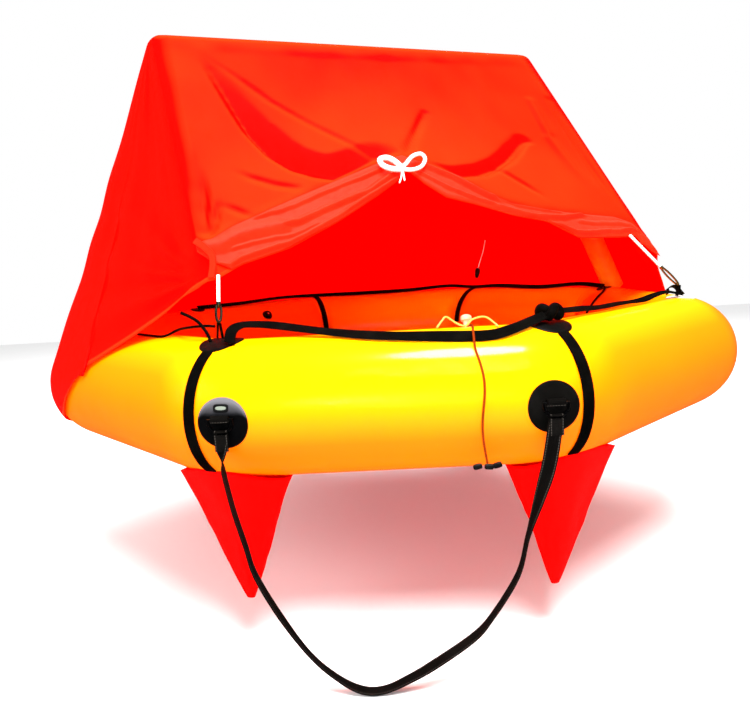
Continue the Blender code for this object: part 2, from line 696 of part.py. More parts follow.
def build_lifelines():
    """Webbing lines on top of the tube, drawn here as round lines of the same bulk."""
    knot_at = on_tube(6.01 * CORNER_PITCH, math.radians(84), ON_PATCH + KNOT_RADIUS + GAP)
    ball("lifeline_knot", knot_at, KNOT_RADIUS, webbing())
    left_of_knot = on_tube(5.95 * CORNER_PITCH, math.radians(76), 0.012)
    right_of_knot = on_tube(6.08 * CORNER_PITCH, math.radians(86), 0.020)
    near = KNOT_RADIUS + 2 * GAP
    lifeline("lifeline_front_left", FRONT_LINE_LEFT, 0.005,
             last=knot_at + (left_of_knot - knot_at).normalized() * near)
    lifeline("lifeline_front_right", FRONT_LINE_RIGHT, 0.005,
             first=knot_at + (right_of_knot - knot_at).normalized() * near)
    lifeline("lifeline_rear", REAR_LINE, 0.004)


# Corner ties: place along the band's lower edge, the cord's share of the tie, then its place on the
# tube and the height there of the strap end that holds the hook.
TIES = (("left", -0.955, 0.52, FRONT_LEFT - 0.03, 0.030), ("right", 0.905, 0.64, RIGHT_FRONT, 0.026))
TIE_START, TIE_LEAD = 0.0006, 0.0055    # square off the band's edge, before the cord turns to its hook


def build_ties():
    """White cords and hooks that pull the canopy's front corners to the tube, and the door's tie."""
    for name, share, cord_share, at, height in TIES:
        seat = on_tube(at * CORNER_PITCH, math.radians(90), ON_PATCH)
        foot = seat + UP * height
        edge = under_band(share)
        off_edge = (under_band(share + 0.01) - under_band(share - 0.01)).cross(door_normal()).normalized()
        if off_edge.z > 0:
            off_edge = -off_edge
        start, lead = edge + off_edge * TIE_START, edge + off_edge * TIE_LEAD
        middle = lead.lerp(foot, cord_share)
        towards = (foot - lead).normalized()
        poly_curve("tie_cord_" + name, [start, lead, middle], 0.003, white_cord())
        poly_curve("tie_hook_" + name, [middle + towards * GAP, foot, seat], 0.005, webbing())
    out = door_normal()
    share = -0.05
    down = (door_slope(share, 0.5) - door_slope(share, 0.4)).normalized()
    rise, rod = 0.006, 0.0025
    band_top = CLOTH + GAP + 2 * BAND_HALF_THICKNESS
    bow_at = door_slope(share, 0.479) + out * (band_top + rise + rod + GAP)
    points = []
    for i in range(24):
        turn = 2 * math.pi * i / 24
        points.append(bow_at + ALONG * (0.030 * math.sin(turn)) + down * (0.012 * math.sin(2 * turn))
                      + out * (rise * math.cos(turn)))
    poly_curve("door_tie", points[:-1], rod, white_cord())


def build_inflation():
    """Gas bottle on the floor behind the front tube, its handle on top, and the pull cord outside."""
    bottle_radius, bottle_length = 0.040, 0.28
    bottle_x, bottle_z = 0.02, bottle_radius + GAP
    rise = TUBE_Z - bottle_z
    bottle_y = -APOTHEM + math.sqrt((TUBE_RADIUS + bottle_radius + SEAT) ** 2 - rise ** 2)
    profile = ((0.0, -0.14), (0.028, -0.136), (0.040, -0.115), (0.040, 0.095), (0.030, 0.122),
               (0.014, 0.135), (0.014, 0.14), (0.0, 0.14))
    turned("inflation_bottle", profile, Vector((bottle_x, bottle_y, bottle_z)), steel())
    head = Vector((bottle_x + bottle_length / 2 + GAP + 0.018, bottle_y, bottle_z))
    turned("bottle_valve", ((0.0, -0.018), (0.018, -0.018), (0.018, 0.016), (0.013, 0.020), (0.0, 0.020)),
           head, webbing())
    handle_radius = 0.014
    handle_s = 5.5 * CORNER_PITCH + 0.155
    ball("inflation_handle", on_tube(handle_s, math.radians(112), handle_radius + GAP), handle_radius,
         white_cord())
    radius, toggle_radius = 0.002, 0.005
    steps, hanging_steps, hanging = 22, 7, 0.088
    line_angle, line_height, hump = 62, 0.0135, 15
    cord = []
    for i in range(steps + hanging_steps + 1):
        sway = 0.006 * min(1.0, i / steps) + 0.004 * math.sin(i * 0.45)
        angle = 107 * max(0.0, 1 - i / steps)
        over_line = math.cos(math.pi / 2 * min(1.0, abs(angle - line_angle) / hump)) ** 2 * line_height
        spot = on_tube(handle_s + sway, math.radians(angle), SEAT + radius + GAP + over_line)
        cord.append(spot - UP * (hanging * max(0, i - steps) / hanging_steps))
    poly_curve("inflation_cord", cord, radius, material("cord_red", (0.6, 0.08, 0.02), 0.7))
    below = cord[-1] + (cord[-1] - cord[-2]).normalized() * (toggle_radius + GAP)
    poly_curve("cord_toggle", [below - Vector((0.018, 0, 0)), below + Vector((0.014, 0, 0))],
               toggle_radius, webbing())


def turned(name, profile, place_at, finish):
    """A turned solid whose axis lies along X. The profile lists radius and height."""
    shape = bmesh.new()
    spots = [shape.verts.new((radius, 0, height)) for radius, height in profile]
    for first, second in zip(spots, spots[1:]):
        shape.edges.new((first, second))
    item = mesh_object(name, shape, finish)
    item.location = place_at
    item.rotation_euler = (0, math.pi / 2, 0)
    spin = item.modifiers.new("turn", "SCREW")
    spin.steps = 20
    spin.render_steps = 20
    spin.use_merge_vertices = True
    spin.merge_threshold = 0.0001
    spin.use_normal_calculate = True


def main():
    clear_scene()
    tube_cutter = build_tube()
    floor_cutter = build_floor()
    build_canopy()
    build_arch(tube_cutter)
    build_door_roll()
    build_bags(tube_cutter, floor_cutter)
    build_girths()
    build_boarding_strap()
    build_lifelines()
    build_ties()
    build_inflation()


main()
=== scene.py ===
"""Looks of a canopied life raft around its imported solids. Metres, +Z up, front to -Y."""
import math

import bmesh
import bpy
from mathutils import Matrix, Vector, noise


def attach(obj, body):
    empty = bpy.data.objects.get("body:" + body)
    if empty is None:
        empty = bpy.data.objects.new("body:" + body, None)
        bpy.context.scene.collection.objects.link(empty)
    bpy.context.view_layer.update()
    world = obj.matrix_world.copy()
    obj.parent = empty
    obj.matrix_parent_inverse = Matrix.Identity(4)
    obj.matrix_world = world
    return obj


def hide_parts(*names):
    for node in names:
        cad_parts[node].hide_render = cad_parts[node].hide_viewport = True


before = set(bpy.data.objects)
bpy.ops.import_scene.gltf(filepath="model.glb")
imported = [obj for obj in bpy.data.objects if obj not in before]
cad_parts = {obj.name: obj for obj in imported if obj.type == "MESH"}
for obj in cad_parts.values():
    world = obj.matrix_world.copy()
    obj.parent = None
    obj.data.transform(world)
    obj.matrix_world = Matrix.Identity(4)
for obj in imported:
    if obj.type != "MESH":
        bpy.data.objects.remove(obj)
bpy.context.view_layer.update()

# Camera, fitted to the photograph.
CAMERA_AT = Vector((0.0265, -1.938, 0.385))
YAW, PITCH, ROLL = -0.037, -0.151, -0.0589
FOCAL_PIXELS, IMAGE_WIDTH, SENSOR = 682, 750, 36

# The raft's own sizes, as in its solids.
TUBE_RADIUS = 0.127
TUBE_Z = TUBE_RADIUS
RING_CORNER_RADIUS = 0.765
CORNER_BEND = 0.14
SIDES = 8
FIRST_CORNER = math.radians(22.5)
HALF_TURN = math.pi / SIDES
APOTHEM = RING_CORNER_RADIUS * math.cos(HALF_TURN)
PIVOT_RADIUS = RING_CORNER_RADIUS - CORNER_BEND / math.cos(HALF_TURN)
HALF_ARC = CORNER_BEND * HALF_TURN
STRAIGHT = 2 * (APOTHEM - CORNER_BEND) * math.tan(HALF_TURN)
CORNER_PITCH = STRAIGHT + 2 * HALF_ARC
RING_LENGTH = SIDES * CORNER_PITCH
RIGHT, REAR_RIGHT, REAR_LEFT, LEFT_REAR, LEFT, FRONT_LEFT, FRONT_RIGHT, RIGHT_FRONT = range(SIDES)
RIGHT_POST = REAR_RIGHT - 0.08
GAP, SEAT = 0.0003, 0.0006
ALONG = Vector((math.cos(FIRST_CORNER), math.sin(FIRST_CORNER), 0))
FORWARD = Vector((math.sin(FIRST_CORNER), -math.cos(FIRST_CORNER), 0))
UP = Vector((0, 0, 1))
RIDGE_HALF, RIDGE_SHIFT, RIDGE_TOP, RIDGE_ROUND = 0.4975, -0.0475, 0.947, 0.042
CORNER_REACH = RING_CORNER_RADIUS * math.sin(math.pi / 4)
CLOTH = 0.003
HALF_CLOTH = CLOTH / 2
ARCH_RADIUS, ARCH_BEND, ARCH_FOOT = 0.032, 0.10, Vector((0.830, 0.172))
HEM_ANGLE, LOOSE_HEM_ANGLE = math.radians(-44), math.radians(35)
CLOTH_LIFT, LOOSE_LIFT, LOOSE_SHARE, DOOR_EDGE_ROUND = 0.0010, 0.0060, 0.62, 0.020
DOOR_FOOT = FORWARD * CORNER_REACH + UP * (TUBE_Z + TUBE_RADIUS + SEAT - DOOR_EDGE_ROUND)
DOOR_HEM = ((-1.0, 0.835), (-0.884, 0.793), (-0.689, 0.753), (-0.459, 0.678), (-0.237, 0.593),
            (-0.10, 0.535), (-0.05, 0.505), (0.0, 0.555), (0.077, 0.607), (0.203, 0.635), (0.365, 0.679),
            (0.518, 0.705), (0.635, 0.768), (0.72, 0.771), (0.948, 0.774), (1.0, 0.80))
BAND_TOP = ((-0.975, 0.716), (-0.888, 0.681), (-0.743, 0.637), (-0.57, 0.587), (-0.392, 0.538),
            (-0.179, 0.480), (-0.10, 0.462), (-0.05, 0.452), (0.0, 0.468), (0.089, 0.497), (0.196, 0.537),
            (0.289, 0.603), (0.383, 0.640), (0.566, 0.669), (0.72, 0.685), (0.886, 0.700), (0.965, 0.726))
BAND_THICKNESS = 0.014
PATCH_RADIUS, PATCH_THICKNESS, WEBBING_THICKNESS = 0.045, 0.002, 0.0025
BAG_TOP_RADIUS, BAG_FLATNESS, BAG_TIP_RADIUS = 0.146, 0.623, 0.016
BAG_TIP_Z, BAG_TOP_Z, BAG_TUCK = -0.252, 0.070, 0.0015
BAGS = (("front_left", FRONT_LEFT, -0.007), ("front_right", FRONT_RIGHT + 0.03, 0.020),
        ("rear_right", REAR_RIGHT, 0.0), ("rear_left", REAR_LEFT, 0.0))
STRAP_PATCH_X, PATCH_FROM_CORNER = 0.277, 0.0625
STRAP_WIDTH = 0.025
KEEPER_DEPTH, KEEPER_WIDTH, KEEPER_HEIGHT = 0.012, 0.030, 0.014
RING_DROP = 0.024
HINGE_Y = -APOTHEM - TUBE_RADIUS - SEAT - PATCH_THICKNESS - KEEPER_DEPTH / 2 - GAP
HINGE_Z = TUBE_Z + 0.010
ON_PATCH = SEAT + PATCH_THICKNESS + GAP
ON_POST = SEAT + WEBBING_THICKNESS + 2 * GAP
KNOT_RADIUS = 0.017


# Places on the raft.

def heading(angle):
    """The level unit vector at an angle from +X."""
    return Vector((math.cos(angle), math.sin(angle), 0))


def crosswise(way):
    """The level unit vector a quarter turn to the left of another."""
    return Vector((-way.y, way.x, 0))


def tilted(outward, angle):
    """The unit vector at an angle above a level one."""
    return outward * math.cos(angle) + UP * math.sin(angle)


def even(last, count):
    """The values from 0 to a last one in even steps."""
    return [last * i / count for i in range(count + 1)]


def circle(count):
    """The angles of even steps around a circle."""
    return even(2 * math.pi, count)[:-1]


def centre_line(s):
    """Point on the ring's centre line and its outward direction, s metres from the first corner."""
    corner = round(s / CORNER_PITCH)
    along = s - corner * CORNER_PITCH
    middle = FIRST_CORNER + 2 * HALF_TURN * corner
    turn = max(-HALF_ARC, min(HALF_ARC, along)) / CORNER_BEND
    outward = heading(middle + turn)
    on_bend = heading(middle) * PIVOT_RADIUS + outward * CORNER_BEND
    return on_bend + crosswise(outward) * (along - turn * CORNER_BEND), outward


def on_tube(s, degrees, lift=0.0):
    """Point over the tube: 0 degrees is its outer side and 90 its top."""
    point, outward = centre_line(s)
    angle, reach = math.radians(degrees), TUBE_RADIUS + lift
    return point + outward * (math.cos(angle) * reach) + UP * (TUBE_Z + math.sin(angle) * reach)


def over_tube(knots, lift=0.0):
    """Points over the tube from rows of place in corner pitches, degrees and height."""
    return [on_tube(s * CORNER_PITCH, degrees, height + lift) for s, degrees, height in knots]


def beside(s, degrees, offset):
    """Centre line place of a point that lies offset metres along the tube's surface from s."""
    corner = round(s / CORNER_PITCH)
    bend = CORNER_BEND + TUBE_RADIUS * math.cos(math.radians(degrees))
    half = bend * HALF_TURN
    along = s - corner * CORNER_PITCH
    if abs(along) <= HALF_ARC:
        surface = along * bend / CORNER_BEND
    else:
        surface = math.copysign(half + abs(along) - HALF_ARC, along)
    surface += offset
    if abs(surface) <= half:
        return corner * CORNER_PITCH + surface * CORNER_BEND / bend
    return corner * CORNER_PITCH + math.copysign(HALF_ARC + abs(surface) - half, surface)


def off_tube(point):
    """The way straight out of the tube at a point near its surface."""
    flat = Vector((point.x, point.y, 0))
    outward = heading(round(math.atan2(flat.y, flat.x) / (2 * HALF_TURN)) * 2 * HALF_TURN)
    tangent = crosswise(outward)
    along = flat.dot(tangent)
    if abs(along) <= STRAIGHT / 2:
        centre = outward * APOTHEM + tangent * along
    else:
        pivot = outward * (APOTHEM - CORNER_BEND) + tangent * math.copysign(STRAIGHT / 2, along)
        centre = pivot + (flat - pivot).normalized() * CORNER_BEND
    return (point - centre - UP * TUBE_Z).normalized()


def runs(path):
    """The length along a path at each of its points."""
    lengths = [0.0]
    for first, second in zip(path, path[1:]):
        lengths.append(lengths[-1] + (second - first).length)
    return lengths


def way_at(path, i, closed=False):
    """The direction of a path at one of its points."""
    if closed:
        return (path[(i + 1) % len(path)] - path[i - 1]).normalized()
    return (path[min(i + 1, len(path) - 1)] - path[max(i - 1, 0)]).normalized()


def curve_point(knots, t):
    """A point on a Catmull-Rom curve, at a share of the way between the middle two of four knots."""
    a, b, c, d = knots
    return 0.5 * (2 * b + (c - a) * t + (2 * a - 5 * b + 4 * c - d) * t * t
                  + (3 * b - a - 3 * c + d) * t ** 3)


def smooth_route(knots, count):
    """Evenly spaced points on a smooth curve through the knots."""
    steps = 20
    knots = [Vector(knot) for knot in knots]
    padded = [2 * knots[0] - knots[1]] + knots + [2 * knots[-1] - knots[-2]]
    spans = range(len(knots) - 1)
    fine = [curve_point(padded[i:i + 4], step / steps) for i in spans for step in range(steps)]
    fine.append(knots[-1])
    lengths = runs(fine)
    route, j = [], 0
    for target in even(lengths[-1], count - 1):
        while j < len(fine) - 2 and lengths[j + 1] < target:
            j += 1
        span = max(lengths[j + 1] - lengths[j], 1e-9)
        route.append(fine[j].lerp(fine[j + 1], min(1.0, (target - lengths[j]) / span)))
    return route


def smooth_closed(knots, steps):
    """Points on a closed smooth curve, the same number of steps between each two knots."""
    ring = [Vector(knot) for knot in (knots[-1], *knots, *knots[:2])]
    return [curve_point(ring[i:i + 4], step / steps) for i in range(len(knots)) for step in range(steps)]


def smoothstep(low, high, value):
    t = max(0.0, min(1.0, (value - low) / (high - low)))
    return t * t * (3 - 2 * t)


def from_table(table, place):
    """Value at one place, straight between the table's rows."""
    for (left, low), (right, high) in zip(table, table[1:]):
        if place <= right:
            return low + (high - low) * max(0.0, (place - left) / (right - left))
    return table[-1][1]


def halve(low, high, steps, reached):
    """The last place from low to high that still counts as reached, by halving."""
    for step in range(steps):
        middle = (low + high) / 2
        if reached(middle):
            low = middle
        else:
            high = middle
    return low


def wobble(*place):
    """Smooth noise from about -1 to 1 at a place of one to three numbers."""
    return noise.noise(Vector((*place, 0, 0)[:3]))


# Materials: each is a node tree over one Principled shader.

class Nodes:
    """Short ways to add nodes to a tree."""

    def __init__(self, tree):
        self.tree = tree

    def put(self, socket, value):
        if isinstance(value, bpy.types.NodeSocket):
            self.tree.links.new(value, socket)
        else:
            socket.default_value = value

    def add(self, kind, inputs=(), output=0, **settings):
        """A node with its settings and inputs, returning one of its outputs."""
        made = self.tree.nodes.new(kind)
        for key, value in settings.items():
            setattr(made, key, value)
        for key, value in dict(inputs).items():
            self.put(made.inputs[key], value)
        return made.outputs[output]

    def parts(self, vector):
        """The three numbers of a vector."""
        made = self.tree.nodes.new("ShaderNodeSeparateXYZ")
        self.put(made.inputs[0], vector)
        return made.outputs

    def math(self, operation, first, second=0.0, third=0.0):
        return self.add("ShaderNodeMath", {0: first, 1: second, 2: third}, operation=operation)

    def mix(self, factor, first, second, most=1.0):
        """The first colour with the second over it, where most is the second's share at factor 1."""
        if most != 1.0:
            factor = self.math("MULTIPLY", factor, most)
        return self.add("ShaderNodeMix", {0: factor, 6: first, 7: second}, 2, data_type="RGBA")

    def normal(self):
        return self.add("ShaderNodeNewGeometry", (), "Normal")

    def coordinates(self, output="Object"):
        return self.add("ShaderNodeTexCoord", (), output)

    def noise(self, scale, detail=3.0, roughness=0.55):
        inputs = {"Vector": self.coordinates(), "Scale": scale, "Detail": detail, "Roughness": roughness}
        return self.add("ShaderNodeTexNoise", inputs, "Fac")

    def spread(self, value, low, high, out_low=0.0, out_high=1.0):
        """Map one range of a value to another, clamped."""
        return self.add("ShaderNodeMapRange", {0: value, 1: low, 2: high, 3: out_low, 4: out_high})

    def wave(self, vector, direction, period):
        inputs = {"Vector": vector, "Scale": math.pi / (10 * period)}
        return self.add("ShaderNodeTexWave", inputs, "Fac", wave_type="BANDS", bands_direction=direction)

    def weave(self, period):
        """Height of a plain weave, in map coordinates measured in metres."""
        vector = self.coordinates("UV")
        return self.math("MAXIMUM", self.wave(vector, "X", period), self.wave(vector, "Y", period))

    def bump(self, height, strength, distance, under=None):
        inputs = {"Height": height, "Strength": strength, "Distance": distance}
        if under is not None:
            inputs["Normal"] = under
        return self.add("ShaderNodeBump", inputs)


class Finish(Nodes):
    """One material and its shader."""

    def __init__(self, name):
        self.material = bpy.data.materials.new(name)
        self.material.use_nodes = True
        super().__init__(self.material.node_tree)
        self.shader = self.tree.nodes["Principled BSDF"]

    def set(self, **inputs):
        """Set the shader's sockets, with _ for a space in their names."""
        for key, value in inputs.items():
            self.put(self.shader.inputs[key.replace("_", " ")], value)
        return self

    def tint(self, factor, tone, most=1.0):
        """Lay a tone over the base colour that was set before."""
        under = self.shader.inputs["Base Color"].links[0].from_socket
        return self.set(Base_Color=self.mix(factor, under, tone, most))

    def paint_light_by_facing(self, way, low, high, tone, most=1.0):
        """Paint light: lay a lighter tone where the surface faces one way, from low to high cosine."""
        facing = self.add("ShaderNodeVectorMath", {0: self.normal(), 1: tuple(way.normalized())}, 1,
                          operation="DOT_PRODUCT")
        return self.tint(self.spread(facing, low, high), tone, most)


def rgb(red, green, blue):
    return (red, green, blue, 1.0)


def coated_cloth(name, light, dark, deep, glow, through_share=0.42, gloss=0.05):
    """Coated woven fabric that lets some light through, duller and darker in soft patches."""
    made = Finish(name)
    patches = made.spread(made.noise(4.0, 4.0), 0.35, 0.68)
    grime = made.spread(made.noise(37.0, 5.0), 0.52, 0.80)
    weave = made.weave(0.0011)
    tone = made.mix(grime, made.mix(patches, light, dark), deep, 0.35)
    tone = made.mix(weave, tone, deep, 0.10)
    crumple = made.bump(made.noise(62.0, 6.0), 0.22, 0.004)
    made.set(Base_Color=tone, Roughness=made.spread(grime, 0, 1, 0.42, 0.62),
             Normal=made.bump(weave, 0.25, 0.0004, crumple), Specular_IOR_Level=gloss)
    through = made.add("ShaderNodeBsdfTranslucent", {"Color": glow})
    blend = made.add("ShaderNodeMixShader", {0: through_share, 1: made.shader.outputs[0], 2: through})
    made.put(made.tree.nodes["Material Output"].inputs["Surface"], blend)
    return made


def canopy_cloth(hem_from):
    """The canopy's red, with painted light in orange where it faces up to the front and where the left end
    panel faces out, with a glued tape along its hems.
    """
    made = coated_cloth("canopy_cloth", rgb(1.0, 0.0010, 0.0001), rgb(0.95, 0.0006, 0.0001),
                        rgb(0.60, 0.0004, 0.0002), rgb(1.0, 0.0008, 0.0002), gloss=0.015)
    # Painted light: a lighter orange where the left end panel faces out to the left, a little forward and up.
    made.paint_light_by_facing(Vector((-0.86, -0.35, 0.37)), 0.72, 0.94, rgb(1.0, 0.0030, 0.0003), 0.9)
    # Painted light: orange where the front panel faces up to the front, pure red where it faces away.
    made.paint_light_by_facing(FORWARD * 0.506 + UP * 0.8625, 0.875, 0.972, rgb(1.0, 0.0270, 0.0026))
    tape = made.math("GREATER_THAN", made.parts(made.coordinates("UV"))[1], hem_from)
    return made.tint(tape, rgb(1.0, 0.034, 0.004), 0.8)


def band_cloth():
    """The gathered door flap: painted light, pink and orange, on the folds that face up, so that it stays a
    deeper red between them as painted shade.
    """
    made = coated_cloth("band_cloth", rgb(1.0, 0.018, 0.004), rgb(1.0, 0.012, 0.002), rgb(0.55, 0.003, 0.001),
                        rgb(1.0, 0.010, 0.002), 0.30)
    # Painted light on the folds that face up to the front.
    return made.paint_light_by_facing(FORWARD * 0.50 + UP * 0.866, 0.85, 0.995, rgb(1.0, 0.029, 0.013))


def tube_coating():
    """Rubber coated yellow, with painted light where it faces up and painted shade in warmer orange where it
    faces down, sideways or to the right; with a fine grain and scuffs.
    """
    made = Finish("tube_coating")
    across, ahead, upward = made.parts(made.normal())
    # Painted light and shade: yellow where the surface faces up, orange where it faces down.
    height = made.spread(upward, -0.38, 0.70)
    tone = made.mix(height, rgb(1.0, 0.12, 0.0), rgb(1.0, 0.38, 0.0))
    # Painted shade: a deeper orange low on the side that faces right (+X).
    tone = made.mix(made.spread(across, 0.10, 0.5), tone, made.mix(height, rgb(1.0, 0.085, 0.0), tone))
    # Painted shade: orange where the surface faces to either side.
    sideways = made.spread(made.math("ABSOLUTE", across), 0.14, 0.58)
    tone = made.mix(sideways, tone, rgb(1.0, 0.125, 0.0), 0.85)
    broad = made.spread(made.noise(2.6, 3.0), 0.30, 0.70)
    tone = made.mix(broad, tone, rgb(1.0, 0.20, 0.0), 0.20)
    scuff = made.spread(made.noise(48.0, 8.0, 0.7), 0.62, 0.80)
    tone = made.mix(scuff, tone, rgb(0.80, 0.30, 0.0), 0.12)
    dents = made.bump(made.noise(9.0, 2.0), 0.12, 0.010)
    return made.set(Base_Color=tone, Roughness=made.spread(scuff, 0, 1, 0.30, 0.50),
                    Normal=made.bump(made.weave(0.0009), 0.12, 0.0003, dents), Coat_Weight=0.4,
                    Coat_Roughness=0.11, Specular_IOR_Level=0.01)


def webbing_finish(name, dark, light, width=STRAP_WIDTH, stitch=None):
    """Woven webbing in map coordinates: length and width in metres. A stitch colour adds two seams."""
    made = Finish(name)
    vector = made.coordinates("UV")
    along, across, height = made.parts(vector)
    zigzag = made.math("SUBTRACT", made.math("FRACT", made.math("MULTIPLY", across, 260.0)), 0.5)
    slant = made.add("ShaderNodeCombineXYZ", {0: made.math("ADD", along, made.math("ABSOLUTE", zigzag)),
                                              1: across})
    weave = made.math("MULTIPLY", made.wave(slant, "X", 0.0030), made.wave(vector, "Y", 0.0022))
    wear = made.spread(made.noise(30.0, 5.0), 0.45, 0.75)
    share = made.math("MULTIPLY_ADD", weave, 0.45, made.math("MULTIPLY", wear, 0.4))
    tone = made.mix(share, dark, light)
    if stitch is not None:
        from_edge = made.math("SUBTRACT", made.math("ABSOLUTE", across), width / 2 - 0.003)
        seam = made.math("LESS_THAN", made.math("ABSOLUTE", from_edge), 0.0006)
        dash = made.math("GREATER_THAN", made.math("FRACT", made.math("MULTIPLY", along, 220.0)), 0.35)
        tone = made.mix(made.math("MULTIPLY", seam, dash), tone, stitch)
    return made.set(Base_Color=tone, Roughness=0.75, Normal=made.bump(weave, 0.5, 0.0006),
                    Specular_IOR_Level=0.04)


def rubber_finish(name, dark, light, roughness, gloss=0.5):
    """Plain rubber or plastic, worn in patches and dulled by dust."""
    made = Finish(name)
    wear = made.spread(made.noise(26.0, 6.0), 0.40, 0.75)
    dust = made.spread(made.noise(140.0, 4.0), 0.55, 0.75)
    return made.set(Base_Color=made.mix(wear, dark, light), Specular_IOR_Level=gloss,
                    Roughness=made.math("MULTIPLY_ADD", dust, 0.25, roughness),
                    Normal=made.bump(made.noise(320.0, 3.0), 0.15, 0.0006))


def rubber_with_painted_highlight(name):
    """Glossy black rubber with a painted highlight: a grey upper part, where it faces up a little."""
    made = Finish(name)
    upward = made.math("MULTIPLY_ADD", made.noise(40.0, 3.0), 0.03, made.parts(made.normal())[2])
    # Painted highlight: grey, brightest where the surface faces up most, black below.
    lit = made.mix(made.spread(upward, 0.14, 0.34), rgb(0.012, 0.012, 0.014), rgb(0.095, 0.092, 0.10))
    tone = made.mix(made.spread(upward, 0.115, 0.16), rgb(0.0010, 0.0010, 0.0012), lit)
    return made.set(Base_Color=tone, Roughness=0.3, Specular_IOR_Level=0.12,
                    Normal=made.bump(made.noise(60.0, 3.0), 0.1, 0.0008))


def cord_finish(name, light, dark, sheen=0.2, gloss=0.5):
    """Braided cord: crossing strands in map coordinates along and around it."""
    made = Finish(name)
    along, around, height = made.parts(made.coordinates("UV"))
    one, two = (made.math("SINE", made.math("MULTIPLY", made.math(way, along, around), 1500.0))
                for way in ("ADD", "SUBTRACT"))
    strands = made.spread(made.math("MAXIMUM", one, two), -0.4, 1.0)
    soil = made.spread(made.noise(45.0, 4.0), 0.4, 0.8)
    tone = made.mix(soil, made.mix(strands, dark, light, 0.75), dark, 0.3)
    return made.set(Base_Color=tone, Roughness=0.75, Normal=made.bump(strands, 0.5, 0.0008),
                    Sheen_Weight=sheen, Specular_IOR_Level=gloss)


def metal_finish(name, light, dark, roughness, metallic=1.0):
    """Brushed metal, darker and duller where it is stained."""
    made = Finish(name)
    stain = made.spread(made.noise(55.0, 5.0), 0.45, 0.72)
    return made.set(Base_Color=made.mix(stain, light, dark), Metallic=metallic,
                    Roughness=made.math("MULTIPLY_ADD", stain, 0.2, roughness),
                    Normal=made.bump(made.noise(600.0, 2.0), 0.08, 0.0004))


BAND = band_cloth()
BAG = coated_cloth("bag_cloth", rgb(1.0, 0.0008, 0.0002), rgb(0.92, 0.0005, 0.0002),
                   rgb(0.45, 0.0004, 0.0003), rgb(1.0, 0.0006, 0.0002), 0.35, 0.01)
TUBE = tube_coating()
ARCH = rubber_finish("arch_coating", rgb(1.0, 0.22, 0.002), rgb(1.0, 0.30, 0.003), 0.35)
FLOOR = coated_cloth("floor_cloth", rgb(0.62, 0.004, 0.002), rgb(0.48, 0.002, 0.001), rgb(0.20, 0.002, 0.001),
                     rgb(0.7, 0.002, 0.001), 0.2)
BLACK_WEB = webbing_finish("webbing_black", rgb(0.0006, 0.0005, 0.0004), rgb(0.0042, 0.0036, 0.0026))
STRAP_WEB = webbing_finish("webbing_strap", rgb(0.0012, 0.0010, 0.0008), rgb(0.0068, 0.0058, 0.0050),
                           stitch=rgb(0.04, 0.035, 0.03))
MATTE_RUBBER = rubber_finish("patch_rubber_matte", rgb(0.0016, 0.0014, 0.0012), rgb(0.004, 0.0036, 0.003),
                             0.45, 0.08)
# The left disc: glossy black with a painted highlight on its upper part.
DISC_RUBBER = rubber_with_painted_highlight("disc_rubber")
PALE_RUBBER = rubber_finish("patch_pale", rgb(0.80, 0.78, 0.74), rgb(0.55, 0.53, 0.49), 0.45)
SLOT_PALE = rubber_finish("slot_pale", rgb(0.22, 0.26, 0.20), rgb(0.12, 0.13, 0.11), 0.4)
WHITE_CORD = cord_finish("cord_white", rgb(0.88, 0.87, 0.84), rgb(0.55, 0.54, 0.50))
YELLOW_CORD = cord_finish("cord_yellow", rgb(1.0, 0.42, 0.04), rgb(0.80, 0.18, 0.01))
RED_CORD = cord_finish("cord_red", rgb(0.20, 0.024, 0.001), rgb(0.13, 0.010, 0.001), 0.0, 0.04)
BLACK_STEEL = metal_finish("ring_steel", rgb(0.055, 0.055, 0.06), rgb(0.025, 0.024, 0.022), 0.22)
BRASS = metal_finish("snap_brass", rgb(0.50, 0.34, 0.12), rgb(0.20, 0.13, 0.06), 0.35)
DARK_WIRE = metal_finish("snap_dark", rgb(0.10, 0.12, 0.08), rgb(0.03, 0.03, 0.03), 0.35)
PLASTIC = rubber_finish("hook_plastic", rgb(0.002, 0.002, 0.002), rgb(0.006, 0.006, 0.006), 0.35, 0.2)
KNOB = rubber_finish("knob_plastic", rgb(1.0, 0.34, 0.22), rgb(0.9, 0.16, 0.06), 0.3, 0.3)
BOTTLE = metal_finish("bottle_paint", rgb(0.30, 0.33, 0.36), rgb(0.16, 0.17, 0.18), 0.35, 0.4)


# Mesh building.

def new_object(name, data):
    """An object that shows the data, linked to the scene."""
    item = bpy.data.objects.new(name, data)
    bpy.context.scene.collection.objects.link(item)
    return item


def edit_mesh(data, change):
    """Let a function change a mesh through bmesh, and return what it returns."""
    shape = bmesh.new()
    shape.from_mesh(data)
    result = change(shape)
    shape.to_mesh(data)
    shape.free()
    return result


def face_outward(shape):
    bmesh.ops.recalc_face_normals(shape, faces=shape.faces)


def thicken(item, thickness, offset=0.0):
    """Give a cloth's single surface its thickness."""
    solid = item.modifiers.new("cloth", "SOLIDIFY")
    solid.thickness = thickness
    solid.offset = offset


def add_piece(name, points, faces, finish, body="raft", uvs=(), replaces=None, sharp=40, closed=True):
    """Link a mesh with its material and body. uvs holds one pair for each face corner, in order."""
    data = bpy.data.meshes.new(name)
    data.from_pydata([tuple(point) for point in points], [], faces)
    layer = data.uv_layers.new(name="map")
    layer.data.foreach_set("uv", [number for pair in uvs for number in pair])
    if closed:
        edit_mesh(data, face_outward)
    data.materials.append(finish.material)
    data.shade_smooth()
    if sharp:
        data.set_sharp_from_angle(angle=math.radians(sharp))
    item = new_object(name, data)
    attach(item, body)
    if replaces:
        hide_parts(replaces)
    return item


